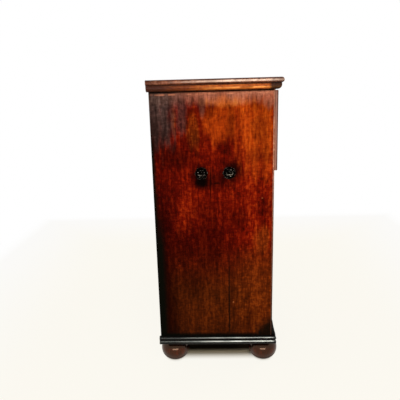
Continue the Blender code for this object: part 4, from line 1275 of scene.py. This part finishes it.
def make_back_nails(material):
    """Nails that hold the back boards to the shelves and rails."""
    out = Matrix.Rotation(-math.pi / 2, 4, "X")
    swell = arc((0, 0), (NAIL_RADIUS, NAIL_RISE), 0, 90, NAIL_STEPS)[:-1]
    dome = [(0, -NAIL_RISE)] + swell + [(0, NAIL_RISE)]
    for hand, _ in HANDS:
        low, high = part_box(f"back_board_{hand}")
        width = high.x - low.x - 2 * NAIL_INSET
        count = round(width / NAIL_PITCH)
        nails = []
        for node in NAIL_LEVELS:
            for step in range(count + 1):
                across = low.x + NAIL_INSET + width * step / count
                place = Matrix.Translation((across, high.y, middle(node).z))
                nails.append(turned(dome, NAIL_SEGMENTS, place @ out))
        add_piece(f"back_nails_{hand}", gather(nails), material, "case")


def open_crack(face):
    """Wedge that cuts the open crack into a face."""
    back, start, end = CRACK
    form = bmesh.new()
    rings = []
    for step in range(CRACK_STEPS + 1):
        share = step / CRACK_STEPS
        taper = math.sqrt(max(CRACK_TIP, 1 - share))
        level = start + (end - start) * share
        along = case_front() + back + CRACK_WANDER * noise.noise(Vector((0, 0, level * CRACK_WAVES)))
        half = CRACK_WIDTH / 2 * taper
        mouth = face - CRACK_DEPTH
        corners = ((mouth, along - half), (mouth, along + half), (face + CRACK_DEPTH * taper, along))
        rings.append([form.verts.new((x, y, level)) for x, y in corners])
    skin(form, rings)
    return form


def side_cutter():
    """Hidden cutter for the open crack and the nail holes of the photographed side."""
    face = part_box("side_left")[0].x
    out = Matrix.Rotation(math.pi / 2, 4, "Y")
    cuts = [open_crack(face)]
    for back, up in NAIL_HOLES:
        place = Matrix.Translation((face, case_front() + back, up))
        cuts.append(rod(NAIL_HOLE_RADIUS, NAIL_HOLE_DEPTH, NAIL_HOLE_SEGMENTS, place @ out))
    cutter = put("side_left_cutter", gather(cuts))
    cutter.hide_render = True
    return cutter


def soften(node, cutter=None):
    """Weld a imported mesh, round its arrises a little, cut it where wanted and shade it evenly."""
    modify(node, "weld", "WELD", merge_threshold=WELD)
    modify(node, "arris", "BEVEL", width=EDGE_ROUND, segments=EDGE_STEPS, limit_method="ANGLE",
           angle_limit=EDGE_ANGLE)
    if cutter:
        modify(node, "cracks", "BOOLEAN", operation="DIFFERENCE", solver="EXACT", object=cutter)
    modify(node, "shade", "WEIGHTED_NORMAL", weight=SHADE_WEIGHT)


def dress_boards(nodes, materials):
    """Finish of the flat boards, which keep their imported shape."""
    chosen = {
        "side_left": "side_left", "side_right": "case_z", "top_rail": "case_x", "front_bearer": "case_x",
        "drawer_upper_facing": "lip", "back_board_left": "back", "back_board_right": "back",
        "dust_board_upper": "raw_x", "dust_board_lower": "raw_x",
        "bottom_board": "under", "rear_bearer": "under",
    }
    box = {"front": "case_x", "back": "raw_x", "bottom": "raw_x", "side_left": "raw_y", "side_right": "raw_y"}
    for drawer in DRAWERS:
        for board, material in box.items():
            chosen[f"drawer_{drawer}_{board}"] = material
    for name, material in chosen.items():
        nodes[name].material_slots[0].material = materials[material]
        soften(nodes[name], side_cutter() if name == "side_left" else None)


def foot_distance(graph):
    """How far a point of the floor lies from the axis of the nearest foot."""
    distances = []
    for name in FEET:
        values = {0: graph.place(), 1: (*middle(f"foot_{name}").xy, 0)}
        distances.append(graph.field("ShaderNodeVectorMath", values, "Value", operation="DISTANCE"))
    return graph.least(*distances)


def make_floor(edge):
    """Pale floor that keeps the shadows, has a shadow painted under the chest, and turns to plain white away
    from the chest.
    """
    form = bmesh.new()
    bmesh.ops.create_grid(form, x_segments=1, y_segments=1, size=FLOOR_SIZE / 2)
    floor = put("floor", form)
    material, graph = new_material("pale_floor")
    floor.data.materials.append(material)
    across, along, _ = graph.split(graph.place())
    aside = abs(across) - edge.x
    before = abs(along) - edge.y
    away = graph.largest(aside, before)
    near = away.fade(*FLOOR_CLEAR, FLOOR_LIFT) * foot_distance(graph).fade(*FLOOR_FEET)
    far = away.fade(*FLOOR_WHITE)
    share = graph.largest(near, far) * graph.seen()
    # painted shadow: the floor under the chest takes a dark tone
    covered = graph.largest(aside, before - FLOOR_SHADOW_ENDS)
    tone = graph.blend(covered.fade(*FLOOR_SHADOW_REACH), linear(FLOOR_PAINTED_SHADOW), linear(FLOOR_TONE))
    matt = graph.node("ShaderNodeBsdfDiffuse", {"Color": tone})
    white = graph.node("ShaderNodeEmission", {"Color": graph.blend(far, linear(FLOOR_GLOW), linear(WHITE))})
    mixed = graph.node("ShaderNodeMixShader", {0: share, 1: matt.outputs[0], 2: white.outputs[0]})
    graph.node("ShaderNodeOutputMaterial", {"Surface": mixed.outputs[0]})


def make_sky():
    """Light from all round, stronger overhead, in front of plain white."""
    world = bpy.data.worlds.new("studio")
    bpy.context.scene.world = world
    graph = empty_graph(world)
    upward = graph.split(graph.coordinate("Generated"))[2]
    values = {"Value": upward, "From Min": SKY_RISE, "To Min": SKY_FILL[0], "To Max": SKY_FILL[1]}
    fill = graph.field("ShaderNodeMapRange", values, "Result")
    strength = graph.largest(fill, graph.seen())
    sky = graph.node("ShaderNodeBackground", {"Color": linear(WHITE), "Strength": strength})
    graph.node("ShaderNodeOutputWorld", {"Surface": sky.outputs[0]})


def make_lamps():
    """Soft lamps on each side."""
    for name, (place, target, size, power) in LAMPS.items():
        lamp = bpy.data.lights.new(name, "AREA")
        lamp.shape = "RECTANGLE"
        lamp.size, lamp.size_y = size
        lamp.energy = power
        thing = link(name, lamp)
        thing.location = place
        thing.rotation_euler = (Vector(target) - Vector(place)).to_track_quat("-Z", "Y").to_euler()
        thing.visible_camera = False
        thing.visible_glossy = name in GLOSSY_LAMPS


def make_camera():
    """Camera at the photograph's place, angle and focal length."""
    level = math.cos(CAMERA_PITCH)
    ahead = Vector((level * math.cos(CAMERA_YAW), level * math.sin(CAMERA_YAW), -math.sin(CAMERA_PITCH)))
    right = ahead.cross(Vector((0, 0, 1))).normalized()
    up = right.cross(ahead)
    turn = Matrix.Rotation(-CAMERA_ROLL, 3, ahead)
    axes = Matrix((turn @ right, turn @ up, -ahead)).transposed()
    lens = bpy.data.cameras.new("camera")
    lens.sensor_width = SENSOR_WIDTH
    lens.lens = SENSOR_WIDTH * FOCAL_LENGTH / IMAGE_SIZE
    camera = link("camera", lens)
    place = Vector((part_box("side_left")[0].x - CAMERA_OUT, case_front() + CAMERA_BACK, CAMERA_UP))
    camera.matrix_world = Matrix.Translation(place) @ axes.to_4x4()
    bpy.context.scene.camera = camera


for thing in list(bpy.data.objects):
    bpy.data.objects.remove(thing)
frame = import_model()
cad_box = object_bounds()
finishes = make_materials()
make_mouldings(finishes)
make_reeds(finishes)
make_top(finishes["top"])
make_feet(finishes["turned"])
make_rosettes(finishes["metal"])
make_bail(finishes["metal"])
make_pulls(finishes["metal"])
make_back_nails(finishes["metal"])
dress_boards(frame["nodes"], finishes)
make_floor(cad_box[1])
make_sky()
make_lamps()
make_camera()
bpy.context.scene.view_settings.view_transform = "Standard"
bpy.context.view_layer.update()
